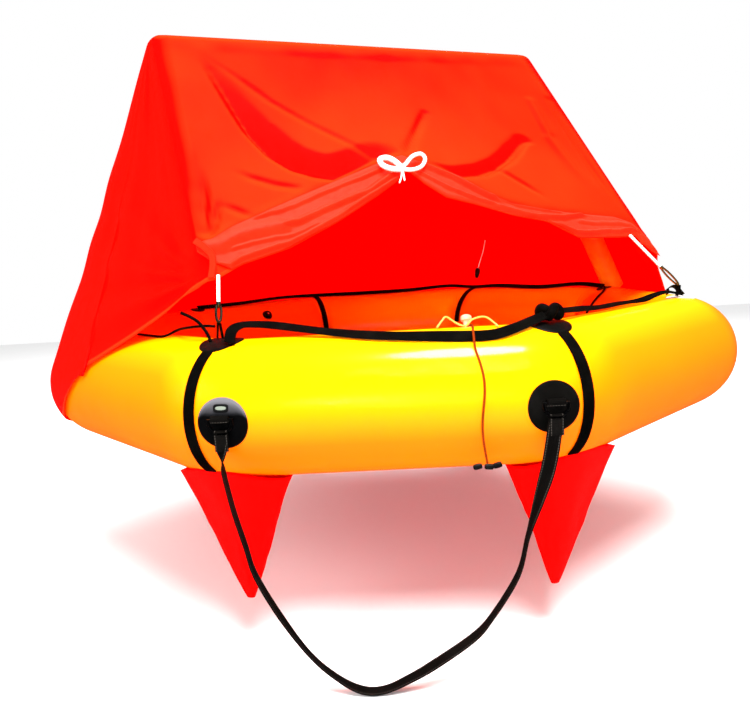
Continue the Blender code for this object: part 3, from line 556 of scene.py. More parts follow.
def grid_piece(name, rows, finish, u=None, v=None, wrap=False, close=False, caps=False, **more):
    """A grid of points. wrap joins the last column to the first, close the last row to the first.

    u and v are the map coordinates of the rows and columns, one more where they are joined.
    """
    count, width = len(rows), len(rows[0])
    points = [point for row in rows for point in row]
    u = u or [i * 0.01 for i in range(count + 1)]
    v = v or [j * 0.01 for j in range(width + 1)]
    faces, uvs = [], []
    for i in range(count if close else count - 1):
        for j in range(width if wrap else width - 1):
            i2, j2 = (i + 1) % count, (j + 1) % width
            faces.append((i * width + j, i * width + j2, i2 * width + j2, i2 * width + j))
            uvs += [(u[i], v[j]), (u[i], v[j + 1]), (u[i + 1], v[j + 1]), (u[i + 1], v[j])]
    if caps:
        for i, order in ((0, range(width)), (count - 1, range(width - 1, -1, -1))):
            faces.append(tuple(i * width + j for j in order))
            uvs += [(u[i], v[j]) for j in order]
    return add_piece(name, points, faces, finish, uvs=uvs, **more)


def hoop(centre, side, other, radius, count):
    """Points around a centre, in the plane of two unit vectors."""
    return [centre + (side * math.cos(turn) + other * math.sin(turn)) * radius for turn in circle(count)]


def round_line(name, path, radius, finish, closed=False, sides=12, **more):
    """A round rod or cord along a path, mapped by its length and its way around."""
    rows = []
    side = way_at(path, 0, closed).orthogonal().normalized()
    for i, point in enumerate(path):
        way = way_at(path, i, closed)
        side = (side - way * side.dot(way)).normalized()
        rows.append(hoop(point, side, way.cross(side), radius, sides))
    return grid_piece(name, rows, finish, runs(path + path[:1]), even(2 * math.pi * radius, sides), wrap=True,
                      close=closed, caps=not closed, **more)


def ribbon(name, path, across, width, thickness, finish, **more):
    """Flat webbing with rounded edges along a path. across holds one unit vector for each point."""
    section = [(share * width / 2, thickness / 2 if abs(share) < 1 else 0.0)
               for share in (-1.0, -0.93, -0.6, -0.2, 0.2, 0.6, 0.93, 1.0)]
    section += [(x, -y) for x, y in reversed(section[1:-1])]
    rows = []
    for i, point in enumerate(path):
        way = way_at(path, i)
        side = (across[i] - way * across[i].dot(way)).normalized()
        face = way.cross(side)
        rows.append([point + side * x + face * y for x, y in section])
    v = [x for x, y in section] + [section[0][0]]
    return grid_piece(name, rows, finish, runs(path), v, wrap=True, caps=True, sharp=50, **more)


def turned(name, profile, place, axis, finish, steps=36, **more):
    """A turned form: pairs of radius and height along an axis."""
    axis = axis.normalized()
    side = axis.orthogonal().normalized()
    rows = [hoop(place + axis * height, side, axis.cross(side), max(radius, 1e-5), steps)
            for radius, height in profile]
    return grid_piece(name, rows, finish, runs([Vector(pair) for pair in profile]), even(0.1, steps),
                      wrap=True, caps=True, sharp=35, **more)


def dome_patch(name, s, degrees, radius, profile, finish, wave=0.0, **more):
    """A round patch bent to the tube. profile holds pairs of radius share and height."""
    spokes = 64
    rows = []
    for share, height in profile:
        row = []
        for turn in circle(spokes):
            reach = radius * share * (1 + wave * wobble(math.cos(turn) * 2, math.sin(turn) * 2, s))
            around = degrees + math.degrees(math.sin(turn) * reach / TUBE_RADIUS)
            row.append(on_tube(beside(s, around, math.cos(turn) * reach), around, height))
        rows.append(row)
    u = [radius * share for share, height in profile]
    return grid_piece(name, rows, finish, u, even(2 * math.pi * radius, spokes), wrap=True, caps=True,
                      sharp=35, **more)


# The buoyancy tube and its floor.

def ring_places(bend_steps, straight_steps):
    """Places all around the centre line, closer together on the rounded corners."""
    places = []
    for corner in range(SIDES):
        start = corner * CORNER_PITCH - HALF_ARC
        places += [start + step for step in even(2 * HALF_ARC, bend_steps)]
        places += [places[-1] + step for step in even(STRAIGHT, straight_steps)[1:-1]]
    return places


def build_tube():
    """One smooth inflated ring, drawn in a little where the fabric puckers inside each corner."""
    around, pucker_pitch, pucker_depth = 72, 0.024, 0.0022
    places = ring_places(18, 14)
    rows = []
    for s in places:
        off = s - round(s / CORNER_PITCH) * CORNER_PITCH
        in_bend = 1 - smoothstep(HALF_ARC * 0.9, HALF_ARC * 1.9, abs(off))
        row = []
        for degrees in even(360, around)[:-1]:
            inner = smoothstep(115, 150, degrees) * (1 - smoothstep(222, 250, degrees))
            phase = 2 * math.pi * off / pucker_pitch + 1.5 * wobble(off * 40, degrees / 30)
            pucker = 0.5 + 0.5 * math.cos(phase)
            row.append(on_tube(s, degrees, -pucker_depth * in_bend * inner * pucker))
        rows.append(row)
    grid_piece("tube_skin", rows, TUBE, places + [RING_LENGTH], even(2 * math.pi * TUBE_RADIUS, around),
               wrap=True, close=True, sharp=0, replaces="buoyancy_tube")


def build_floor():
    """The floor cloth: an octagon with soft dents, hung a hair under the tube's lowest line."""
    rings, spokes, dent_height = 30, 96, 0.006
    half_side = APOTHEM - 0.0015
    rows = []
    for share in even(1.0, rings):
        row = []
        for turn in circle(spokes):
            away = turn % (2 * HALF_TURN) - HALF_TURN
            place = heading(FIRST_CORNER + turn) * (half_side / math.cos(away) * max(share, 0.004))
            dent = dent_height * (1 - share ** 4) * (0.4 + 0.6 * abs(wobble(place.x * 4, place.y * 4, 2.0)))
            row.append(place + UP * (dent - GAP - 0.001))
        rows.append(row)
    item = grid_piece("floor_cloth", rows, FLOOR, even(0.023 * rings, rings), even(0.03 * spokes, spokes),
                      wrap=True, closed=False, sharp=0, replaces="floor_sheet")
    thicken(item, 0.0016)


# The canopy.

def ridge_point(share):
    return ALONG * (RIDGE_SHIFT + RIDGE_HALF * share) + UP * (RIDGE_TOP - RIDGE_ROUND)


def ridge_share(s):
    """Where the rib at s meets the ridge: the end panels' ribs all meet at its ends."""
    sideways = centre_line(s)[0].dot(ALONG)
    share = abs(sideways) / CORNER_REACH + 0.17 * smoothstep(0.25, 0.45, abs(sideways))
    return math.copysign(min(1.0, share), sideways)


def rear_place(share):
    """The place on the rear of the ring whose rib meets the ridge at this share."""
    return halve(REAR_RIGHT * CORNER_PITCH, LEFT_REAR * CORNER_PITCH, 40, lambda s: ridge_share(s) > share)


# Creases of the front panel: places along the ridge and down the slope, then depth and how far the
# crease reaches above and below its line.
CREASES = (
    (((-0.86, 0.05), (-0.828, 0.122), (-0.767, 0.252), (-0.717, 0.353), (-0.646, 0.437), (-0.573, 0.485),
      (-0.492, 0.513), (-0.398, 0.53), (-0.303, 0.514), (-0.168, 0.481)), -0.0260, 0.082, 0.006),
    (((-0.872, 0.032), (-0.737, 0.121), (-0.576, 0.236), (-0.376, 0.339), (-0.18, 0.445)),
     -0.0030, 0.012, 0.006),
    (((-0.84, 0.483), (-0.767, 0.52), (-0.673, 0.548), (-0.581, 0.563)), -0.0040, 0.014, 0.006),
    (((-0.929, 0.596), (-0.844, 0.636), (-0.768, 0.67)), -0.0040, 0.012, 0.006),
    (((-0.975, 0.40), (-0.978, 0.52), (-0.985, 0.62), (-0.998, 0.72)), -0.0070, 0.011, 0.007),
    (((-0.945, 0.47), (-0.965, 0.60), (-0.985, 0.71)), -0.0070, 0.012, 0.007),
    (((-0.91, 0.58), (-0.94, 0.65), (-0.975, 0.715)), -0.0060, 0.011, 0.007),
    (((0.02, 0.475), (0.05, 0.49), (0.14, 0.514), (0.192, 0.528), (0.325, 0.518), (0.439, 0.489),
      (0.533, 0.454), (0.66, 0.39)), -0.0140, 0.038, 0.006),
    (((-0.03, 0.45), (-0.011, 0.434), (0.095, 0.346), (0.20, 0.26)), -0.0050, 0.012, 0.008),
    (((0.90, 0.62), (0.86, 0.50), (0.84, 0.36), (0.86, 0.20)), 0.0035, 0.014, 0.014),
    (((0.95, 0.70), (0.955, 0.55), (0.965, 0.40), (0.98, 0.20)), -0.0045, 0.012, 0.012),
    (((0.62, 0.64), (0.50, 0.55), (0.40, 0.48)), -0.0035, 0.012, 0.008),
)
PANEL_HALF, PANEL_SLOPE, PANEL_SAG = 0.52, 0.861, 0.010


def from_line(line, share, cover):
    """Distance from a line on the panel, the share of the line there, and whether the place is below it."""
    x, y = share * PANEL_HALF, cover * PANEL_SLOPE
    points = [(along * PANEL_HALF, down * PANEL_SLOPE) for along, down in line]
    best = (9.0, 0.0, False)
    for i, ((ax, ay), (bx, by)) in enumerate(zip(points, points[1:])):
        dx, dy = bx - ax, by - ay
        t = max(0.0, min(1.0, ((x - ax) * dx + (y - ay) * dy) / (dx * dx + dy * dy)))
        gap = math.hypot(x - ax - t * dx, y - ay - t * dy)
        if gap < best[0]:
            best = (gap, (i + t) / (len(line) - 1), y >= ay + t * dy)
    return best


def crease_height(share, cover):
    """How far the front panel's fabric stands out at one place, from all its creases."""
    total = 0.0
    for line, depth, above, under in CREASES:
        gap, at, below = from_line(line, share, cover)
        fade = smoothstep(0.0, 0.50, at) * (1 - smoothstep(0.88, 1.0, at) * 0.4)
        if below:
            total += depth * fade * math.exp(-(gap / under) ** 2)
        else:
            ramp = max(0.0, 1 - gap / (above * (0.4 + 0.6 * smoothstep(0.0, 0.45, at))))
            total += depth * fade * 1.15 * ramp * ramp / (ramp + 0.15)
    return total


def touching_slope(top, centre, outward, inner, reach):
    """Lean and normal of the straight slope that touches a round at the top and one at the foot."""
    apart = centre - top
    flat = apart.dot(outward)
    lean = math.atan2(apart.z, flat) + math.acos((inner - reach) / math.hypot(flat, apart.z))
    return lean, tilted(outward, lean)


def slope_rib(top, centre, outward, reach, cover, hem, stand_out):
    """Points of the canopy from its ridge down one rib, with stand_out(share of slope) added."""
    arc_rows, slope_rows, wrap_rows = 8, 78, 14
    inner, reach = RIDGE_ROUND - HALF_CLOTH, reach + HALF_CLOTH
    lean, normal = touching_slope(top, centre, outward, inner, reach)
    points = [top + tilted(outward, math.pi / 2 + step) * inner
              for step in even(lean - math.pi / 2, arc_rows)[:-1]]
    shares = even(cover, slope_rows + wrap_rows) if cover < 1.0 else even(1.0, slope_rows)[:-1]
    start, end = top + normal * inner, centre + normal * reach
    points += [start.lerp(end, share) + normal * stand_out(share) for share in shares]
    if cover >= 1.0:
        points += [centre + tilted(outward, lean + step) * reach for step in even(hem - lean, wrap_rows)]
    return points


# Folds of the end panels, drawn from the end of the doorway's hem: height, reach and slope share there.
DRAWN_HEIGHT, DRAWN_REACH, DRAWN_FROM = 0.0075, 0.26, 0.82


def attached_rib(s):
    """A rib that ends on the tube, between the right front and the front left corner."""
    point, outward = centre_line(s)
    centre = point + UP * TUBE_Z
    share = ridge_share(s)
    from_door = min(s / CORNER_PITCH + 1, FRONT_LEFT - s / CORNER_PITCH)
    reach = TUBE_RADIUS + LOOSE_LIFT + (CLOTH_LIFT - LOOSE_LIFT) * smoothstep(0.85, 1.1, from_door)

    def stand_out(place):
        """The panel hollows a little between ridge and tube, and soft folds run down it."""
        middle = math.sin(math.pi * place) ** 1.3
        folds = wobble(s * 7.0, place * 1.6, 4.0) * 0.006 + wobble(s * 19.0, place * 2.5, 9.0) * 0.0022
        edge = smoothstep(0.0, 0.10, from_door)
        aside, above = from_door * CORNER_PITCH * place, (DRAWN_FROM - place) * PANEL_SLOPE
        apart = math.hypot(aside, above)
        drawn = DRAWN_HEIGHT * math.sin(math.atan2(aside, above) * 12 + 0.8) * math.exp(-apart / DRAWN_REACH)
        drawn *= smoothstep(0.0, 0.06, aside) * smoothstep(1.0, 0.9, place)
        return middle * (-0.006 + folds) * edge + drawn

    if from_door >= LOOSE_SHARE:
        drop = min(1.0, (from_door - LOOSE_SHARE) / (1 - LOOSE_SHARE))
        hem = LOOSE_HEM_ANGLE + (HEM_ANGLE - LOOSE_HEM_ANGLE) * drop
        return slope_rib(ridge_point(share), centre, outward, reach, 1.0, hem, stand_out)
    blend = from_door / LOOSE_SHARE
    small = DOOR_EDGE_ROUND + (reach - DOOR_EDGE_ROUND) * blend
    door_side = from_table(DOOR_HEM, share)
    cover = door_side + (0.97 - door_side) * blend
    return slope_rib(ridge_point(share), centre + UP * (reach - small), outward, small, cover, 0, stand_out)


def door_frame():
    """Start and end of the front panel's slope at share 0, and the way that it faces."""
    top = UP * (RIDGE_TOP - RIDGE_ROUND)
    inner = RIDGE_ROUND - CLOTH
    normal = touching_slope(top, DOOR_FOOT, FORWARD, inner, DOOR_EDGE_ROUND)[1]
    return top + normal * inner, DOOR_FOOT + normal * DOOR_EDGE_ROUND, normal


DOOR_START, DOOR_END, DOOR_NORMAL = door_frame()


def on_door(share, cover, lift=0.0):
    """A point over the front panel's inner face."""
    start = DOOR_START + ALONG * (RIDGE_SHIFT + RIDGE_HALF * share)
    end = DOOR_END + ALONG * (CORNER_REACH * share)
    return start.lerp(end, cover) + DOOR_NORMAL * lift


def door_rib(share):
    """A rib of the front panel, which ends at the doorway's hem."""
    band = from_table(BAND_TOP, share)

    def stand_out(place):
        """Sag, creases and soft folds, all gone where the gathered band lies on the fabric."""
        free = 1 - smoothstep(band - 0.025, band + 0.004, place)
        side = 1 - abs(share) ** 6
        sag = -PANEL_SAG * math.sin(math.pi * min(1.0, place / max(band, 0.1))) * side
        folds = 0.0035 * wobble(share * 3.2, place * 2.4, 1.0) + 0.0016 * wobble(share * 9, place * 6, 5.0)
        return free * smoothstep(0.0, 0.05, place) * (sag + folds + crease_height(share, place))

    return slope_rib(ridge_point(share), ALONG * (share * CORNER_REACH) + DOOR_FOOT, FORWARD, DOOR_EDGE_ROUND,
                     from_table(DOOR_HEM, share), 0, stand_out)


def weld(shape):
    """Join the points where ribs meet, and return the sheet's area."""
    bmesh.ops.remove_doubles(shape, verts=shape.verts, dist=0.00005)
    return sum(face.calc_area() for face in shape.faces)


def build_canopy():
    """One continuous sheet, open at the door, with the creases that the photograph shows."""
    tape_width = 0.016
    two_sides = 2 * CORNER_PITCH
    places = [(RIGHT_FRONT - SIDES) * CORNER_PITCH + step for step in even(two_sides, 50)[:-1]]
    places += [rear_place(1 - step) for step in even(2, 72)]
    places += [LEFT_REAR * CORNER_PITCH + step for step in even(two_sides, 110)[1:]]
    ribs = [attached_rib(s) for s in places]
    ribs += [door_rib(step - 1) for step in even(2, 130)[1:-1]]
    ribs.append(ribs[0])
    u, v = runs([rib[len(rib) // 2] for rib in ribs]), runs(ribs[60])
    item = grid_piece("canopy_skin", ribs, canopy_cloth(v[-1] - tape_width), u, v, closed=False, sharp=0,
                      replaces="canopy")
    area = edit_mesh(item.data, weld)
    thicken(item, 0.0018)


def arch_half(bar_end):
    """Half of the arch in its own plane: the leg from its foot, then the bend up to the bar."""
    bend = Vector((bar_end, RIDGE_TOP - RIDGE_ROUND))
    leg = (bend - ARCH_FOOT).normalized()
    turn = math.acos(-leg.x)
    start = bend - leg * (ARCH_BEND * math.tan(turn / 2))
    inward = Vector((-leg.y, leg.x))
    pivot = start + inward * ARCH_BEND
    half = [ARCH_FOOT.lerp(start, i / 60) for i in range(60)]
    return half + [pivot + (leg * math.sin(angle) - inward * math.cos(angle)) * ARCH_BEND
                   for angle in even(turn, 18)]


def build_arch():
    """The inflated arch, smooth, its feet cut off where they meet the tube."""
    right = [ALONG * p.x + UP * p.y for p in arch_half(RIDGE_HALF + RIDGE_SHIFT)]
    left = [ALONG * -p.x + UP * p.y for p in arch_half(RIDGE_HALF - RIDGE_SHIFT)]
    bar = [right[-1].lerp(left[-1], i / 16) for i in range(1, 16)]
    corner_radius = centre_line(RIGHT)[0].length
    path = []
    for point in right + bar + left[::-1]:
        inside = Vector((point.x, point.y, 0)).normalized() * corner_radius + UP * TUBE_Z
        if (point - inside).length > TUBE_RADIUS - 0.004:
            path.append(point)
    round_line("arch_skin", path, ARCH_RADIUS, ARCH, sides=32, sharp=60, replaces="canopy_arch")


# Folds of the gathered band: their lines on the panel, then height share and half width.
BAND_FOLDS = (
    (((-1.03, 0.74), (-0.96, 0.738), (-0.88, 0.715), (-0.76, 0.695), (-0.66, 0.682)), 0.95, 0.022),
    (((-0.72, 0.69), (-0.63, 0.674), (-0.474, 0.632), (-0.289, 0.589), (-0.10, 0.505)), 1.0, 0.009),
    (((-0.82, 0.668), (-0.689, 0.640), (-0.493, 0.588), (-0.288, 0.538), (-0.10, 0.478)), 0.72, 0.006),
    (((-0.99, 0.79), (-0.93, 0.80), (-0.884, 0.782), (-0.689, 0.742), (-0.459, 0.668), (-0.237, 0.584),
      (-0.10, 0.526)), 0.90, 0.0065),
    (((-0.93, 0.755), (-0.80, 0.735), (-0.66, 0.715), (-0.52, 0.675)), 0.62, 0.006),
    (((-0.02, 0.485), (0.06, 0.503), (0.16, 0.545), (0.26, 0.60), (0.33, 0.632)), 1.0, 0.008),
    (((-0.03, 0.505), (0.04, 0.545), (0.12, 0.585), (0.22, 0.622), (0.32, 0.650)), 0.85, 0.0065),
    (((0.02, 0.480), (0.10, 0.508), (0.19, 0.545), (0.29, 0.612)), 0.60, 0.005),
    (((0.26, 0.638), (0.38, 0.672), (0.468, 0.688), (0.53, 0.694), (0.60, 0.699), (0.66, 0.694),
      (0.74, 0.690)), 1.0, 0.0075),
    (((0.30, 0.612), (0.40, 0.648), (0.52, 0.668), (0.64, 0.678)), 0.55, 0.006),
    (((0.52, 0.712), (0.597, 0.740), (0.624, 0.752), (0.688, 0.756), (0.777, 0.752), (0.931, 0.752),
      (0.99, 0.775)), 0.95, 0.0075),
    (((0.66, 0.712), (0.76, 0.722), (0.88, 0.722), (0.97, 0.742)), 0.55, 0.010),
    (((0.93, 0.725), (0.96, 0.76), (0.975, 0.80), (0.975, 0.84)), 0.80, 0.010),
)
# The band's lower edge where it leaves the hem: it narrows to the left gather, and a cap hangs at the right.
BAND_LOW = ((-1.035, 0.752), (-0.99, 0.782), (-0.93, 0.806), (-0.91, 0.83), (0.93, 0.83), (0.95, 0.80),
            (0.965, 0.832), (1.0, 0.85))
BAND_HIGH = ((-1.035, 0.728), *BAND_TOP[:-1], (0.955, 0.722), (1.0, 0.790))
# Knots of the band's turned end: share and cover on the panel, then height over the cloth.
BAND_END = ((-1.038, 0.728, 0.010), (-1.012, 0.752, 0.016), (-0.990, 0.776, 0.015), (-0.992, 0.800, 0.012),
            (-1.006, 0.832, 0.008))


LEAST_GATHER = 0.22


def gather(share, cover):
    """Height of the gathered band, from 0 to 1, at one place on the panel."""
    shift = 0.006 * wobble(share * 4.2, 1.0, 3.0) + 0.003 * wobble(share * 17, 2.0, 3.0)
    height = LEAST_GATHER
    for number, (line, tall, wide) in enumerate(BAND_FOLDS):
        gap, at = from_line(line, share, cover + shift)[:2]
        if gap > 4 * wide:
            continue
        alive = 0.86 + 0.22 * wobble(share * 5.5 + number * 2.3, number * 1.9, 7.0)
        fade = smoothstep(0.0, 0.10, at) * (1 - smoothstep(0.90, 1.0, at))
        height = max(height, tall * alive * (0.35 + 0.65 * fade) * math.exp(-(gap / wide) ** 2))
    ripple = 0.05 * wobble(share * 38, cover * 30, 11.0)
    ripple += 0.04 * wobble(share * 70 + cover * 25, cover * 60, 2.0)
    return max(0.05, min(1.0, height + ripple))


def build_band():
    """The door flap, gathered in a flat wrinkled band along the doorway's top edge."""
    first, last, cap_from = BAND_HIGH[0][0], BAND_HIGH[-1][0], 0.94
    rows, u = [], []
    for step in even(last - first, 260):
        share = first + step
        top, low = from_table(BAND_HIGH, share), from_table(BAND_LOW, share)
        if share < cap_from:
            low = min(low, from_table(DOOR_HEM, share))
        end = smoothstep(0, 0.02, step) * smoothstep(0, 0.02, last - share)
        row = []
        for a in even(1.0, 40):
            edge = smoothstep(0.0, 0.10, a) * smoothstep(0.0, 0.10, 1 - a)
            cover = top + (low - top) * a
            height = BAND_THICKNESS * gather(share, cover) * (0.35 + 0.65 * end) * (0.45 + 0.55 * edge)
            row.append(on_door(share, cover, CLOTH + GAP + height))
        row += [on_door(share, top + (low - top) * a, CLOTH + GAP) for a in (0.97, 0.75, 0.5, 0.25, 0.03)]
        rows.append(row)
        u.append(step * 0.53)
    v = even(0.09, 40) + [0.088, 0.07, 0.045, 0.02, 0.003, 0.0]
    item = grid_piece("door_band", rows, BAND, u, v, wrap=True, caps=True, sharp=0, replaces="door_roll")
    path = smooth_route([on_door(share, cover, CLOTH + lift) for share, cover, lift in BAND_END], 30)
    across = [(ALONG * 0.85 + DOOR_NORMAL * 0.5).normalized()] * len(path)
    ribbon("band_flap", path, across, 0.013, 0.0045, BAND)


# Water bags.

def bag_point(corner, lean, height):
    """Middle, axes and reach of the plain cone under one corner, at one height."""
    point, outward = centre_line(corner * CORNER_PITCH)
    side = crosswise(outward)
    share = (height - BAG_TIP_Z) / (BAG_TOP_Z - BAG_TIP_Z)
    reach = BAG_TIP_RADIUS + (BAG_TOP_RADIUS - BAG_TIP_RADIUS) * share
    return point + side * (lean * share), side, outward, reach


def bag_top(corner, lean, turn):
    """How high one line of a bag's cone reaches before it meets the tube or the floor."""
    def is_free(height):
        depth = math.sin(turn) * bag_point(corner, lean, height)[3] * BAG_FLATNESS
        if depth > -0.02:
            return math.hypot(depth, height - TUBE_Z) >= TUBE_RADIUS - BAG_TUCK
        return height <= -BAG_TUCK

    return halve(BAG_TIP_Z, BAG_TOP_Z, 18, is_free)


def build_bag(name, corner, lean, seed):
    """A bag of coated fabric that hangs folded: a lofted shell whose sides sag in between its folds."""
    last_row, spokes, sag_share, dent_depth, tip_draw = 40, 72, 0.055, 0.0022, 0.007
    tops = [bag_top(corner, lean, turn) for turn in circle(spokes)]
    rows = []
    for share in even(1.0, last_row):
        row = []
        for turn, top_z in zip(circle(spokes), tops):
            height = top_z + (BAG_TIP_Z - top_z) * share
            point, side, outward, reach = bag_point(corner, lean, height)
            hang = math.sin(math.pi * min(1.0, share * 1.05)) ** 0.8
            fold = 0.055 * math.cos(3 * turn + seed) + 0.05 * math.cos(5 * turn + 2.1 * seed + 2 * share)
            fold += 0.07 * wobble(math.cos(turn) * 1.6 + seed, math.sin(turn) * 1.6, share * 2.2)
            sag = 1 - sag_share * hang - hang * max(0.0, fold) * 0.9
            dent = dent_depth * wobble(turn * 3 + seed * 5, share * 9, seed) * hang
            reach = reach * sag + dent - tip_draw * share ** 3
            row.append(Vector((point.x, point.y, height)) + side * (math.cos(turn) * reach)
                       + outward * (math.sin(turn) * reach * BAG_FLATNESS))
        rows.append(row)

    def close_tip(shape):
        shape.verts.ensure_lookup_table()
        shape.faces.new([shape.verts[last_row * spokes + j] for j in range(spokes)])
        face_outward(shape)

    item = grid_piece(name + "_cloth", rows, BAG, even(0.30, last_row), even(0.7, spokes), wrap=True,
                      closed=False, sharp=0, replaces=name)
    edit_mesh(item.data, close_tip)
    thicken(item, 0.0012, -1.0)


# Patches, girths, posts and the valve.

def tube_ribbon(name, corner, start, end, width, **more):
    """Flat webbing glued around the tube at one corner."""
    s = corner * CORNER_PITCH
    path = [on_tube(s, start + step, SEAT + WEBBING_THICKNESS / 2) for step in even(end - start, 40)]
    across = [crosswise(centre_line(s)[1])] * len(path)
    ribbon(name, path, across, width, WEBBING_THICKNESS, BLACK_WEB, **more)


FLAT_PATCH = ((1.0, 0.0004), (0.995, 0.0016), (0.96, 0.0024), (0.90, 0.0026), (0.5, 0.0026), (0.02, 0.0026))
RIM_PATCH = ((1.0, 0.0004), (0.99, 0.0018), (0.95, 0.0025), (0.88, 0.0028), (0.74, 0.0027), (0.5, 0.0027),
             (0.02, 0.0028))
VALVE_BODY = ((0.017, 0.0006), (0.017, 0.0035), (0.0155, 0.0045), (0.0135, 0.0048), (0.0125, 0.0070),
              (0.0125, 0.0105), (0.0115, 0.0120), (0.0085, 0.0126), (0.0060, 0.0118), (0.0001, 0.0116))
VALVE_STEM = ((0.0034, 0.0110), (0.0034, 0.0122), (0.0026, 0.0127), (0.0001, 0.0127))


def build_patches():
    """Flat patches on the tube's top and rear, with the girths and posts of webbing."""
    for name, corner in (("left", FRONT_LEFT), ("right", FRONT_RIGHT)):
        dome_patch("top_patch_%s_rubber" % name, corner * CORNER_PITCH, 80, PATCH_RADIUS * 0.9, FLAT_PATCH,
                   MATTE_RUBBER, 0.02, replaces="top_patch_" + name)
        tube_ribbon("girth_%s_webbing" % name, corner, 61.3, -50, 0.023, replaces="girth_strap_" + name)
    for name, corner in (("left", REAR_LEFT), ("right", RIGHT_POST)):
        tube_ribbon("post_%s_webbing" % name, corner, 174, 86, 0.019, replaces="inner_post_" + name)
    dome_patch("loop_patch_pale", RIGHT_FRONT * CORNER_PITCH, 88, PATCH_RADIUS * 0.7, FLAT_PATCH, PALE_RUBBER,
               0.02, replaces="loop_patch_right")
    for name, at in (("left", LEFT_REAR - 0.12), ("right", RIGHT - 0.06)):
        dome_patch("rear_patch_%s_rubber" % name, at * CORNER_PITCH, 100, PATCH_RADIUS * 0.5,
                   FLAT_PATCH, MATTE_RUBBER, 0.02, replaces="rear_line_patch_" + name)


def build_valve():
    """The topping up valve on the far tube's inner side."""
    at = on_tube(2.49 * CORNER_PITCH, 138, 0)
    turned("valve_body", VALVE_BODY, at, off_tube(at), MATTE_RUBBER, replaces="topping_up_valve")
    turned("valve_stem", VALVE_STEM, at, off_tube(at), KNOB)


# Round strap patches with their ring sleeves.

def build_discs():
    """The two round strap patches, each with a sewn sleeve for its ring."""
    for name, x, corner, way, finish in (("left", -STRAP_PATCH_X, FRONT_LEFT, 1, DISC_RUBBER),
                                         ("right", STRAP_PATCH_X, FRONT_RIGHT, -1, MATTE_RUBBER)):
        s = beside(corner * CORNER_PITCH, 0, way * PATCH_FROM_CORNER)
        dome_patch("disc_%s_rubber" % name, s, 0, PATCH_RADIUS, RIM_PATCH, finish,
                   replaces="disc_patch_" + name)
        build_keeper(name, x)
        if name == "left":
            build_slot(s)


# The slot's rim: pairs of size share and height, then its half sizes and how far above the ring it sits.
SLOT_RIM = ((1.0, 0.0026), (0.97, 0.0038), (0.90, 0.0042), (0.80, 0.0041), (0.72, 0.0034), (0.68, 0.0028))
SLOT_HALF_WIDTH, SLOT_HALF_HEIGHT, SLOT_ABOVE = 0.0135, 0.0068, 0.0265


def build_slot(s):
    """The left round patch's moulded slot: a dark rounded rim and a pale plate in it."""
    def spot(wide, tall, height):
        angle = math.degrees((SLOT_ABOVE + tall) / TUBE_RADIUS)
        return on_tube(beside(s, angle, wide), angle, height)

    def rounded(value, half, inset):
        size = abs(value) ** 0.45 * half
        return math.copysign(size - min(size, inset), value)

    rows = []
    for share, height in SLOT_RIM:
        inset = (1 - share) * 0.012
        rows.append([spot(rounded(math.cos(turn), SLOT_HALF_WIDTH, inset),
                          rounded(math.sin(turn), SLOT_HALF_HEIGHT, inset), height) for turn in circle(48)])
    grid_piece("slot_rim_left", rows, PLASTIC, wrap=True, closed=False, sharp=0)
    plate = [[spot(wide * 0.0108, tall * 0.0042, 0.0030) for wide in (-1, -0.5, 0, 0.5, 1)]
             for tall in (-1, -0.3, 0.3, 1)]
    grid_piece("slot_plate_left", plate, SLOT_PALE, closed=False, sharp=0)


def front_of_corner(x, z, lift):
    """How far forward the tube's rounded front corner reaches at one place, with a lift."""
    reach = CORNER_BEND + math.sqrt((TUBE_RADIUS + lift) ** 2 - (z - TUBE_Z) ** 2)
    aside = abs(x) - PIVOT_RADIUS * math.sin(HALF_TURN)
    return -PIVOT_RADIUS * math.cos(HALF_TURN) - math.sqrt(reach ** 2 - aside ** 2)


def build_keeper(name, x):
    """A sewn webbing sleeve: it lies flat on the patch and loops around the ring's bar."""
    half = KEEPER_HEIGHT / 2
    rows, u = [], []
    for k in range(9):
        place = x + KEEPER_WIDTH * (k / 8 - 0.5)
        pinch = 1 - 0.05 * (abs(k - 4) / 4) ** 2
        row = []
        for step in even(256, 32):
            turn = math.radians(step - 128)
            row.append(Vector((place, HINGE_Y - math.cos(turn) * KEEPER_DEPTH / 2 * pinch,
                               HINGE_Z + math.sin(turn) * half * pinch)))
        back = front_of_corner(place, HINGE_Z, SEAT + PATCH_THICKNESS + 2 * GAP)
        row += [Vector((place, back, HINGE_Z + tall)) for tall in (half * 0.7, 0.0, -half * 0.7)]
        rows.append(row)
        u.append(place)
    grid_piece("keeper_%s_webbing" % name, rows, STRAP_WEB, u, even(0.0288, 36), wrap=True, caps=True,
               sharp=50, replaces="ring_keeper_" + name)


# Boarding strap route: x, z, then how far its width has turned from across to straight ahead.
TURN_STEP = 0.01
STRAP_ROUTE = (
    (-0.277, 0.110, 0.0), (-0.279, 0.085, 0.3), (-0.279, 0.050, 1.0), (-0.268, -0.020, 1.0),
    (-0.253, -0.085, 1.0), (-0.240, -0.140, 1.0), (-0.203, -0.217, 1.0), (-0.157, -0.290, 0.9),
    (-0.114, -0.334, 0.9), (-0.072, -0.360, 1.0), (-0.032, -0.362, 1.0), (0.015, -0.342, 0.85),
    (0.059, -0.317, 0.75), (0.126, -0.271, 0.85), (0.160, -0.234, 1.0), (0.207, -0.158, 1.0),
    (0.226, -0.088, 1.0), (0.247, -0.022, 0.6), (0.264, 0.035, 0.2), (0.277, 0.110, 0.0))


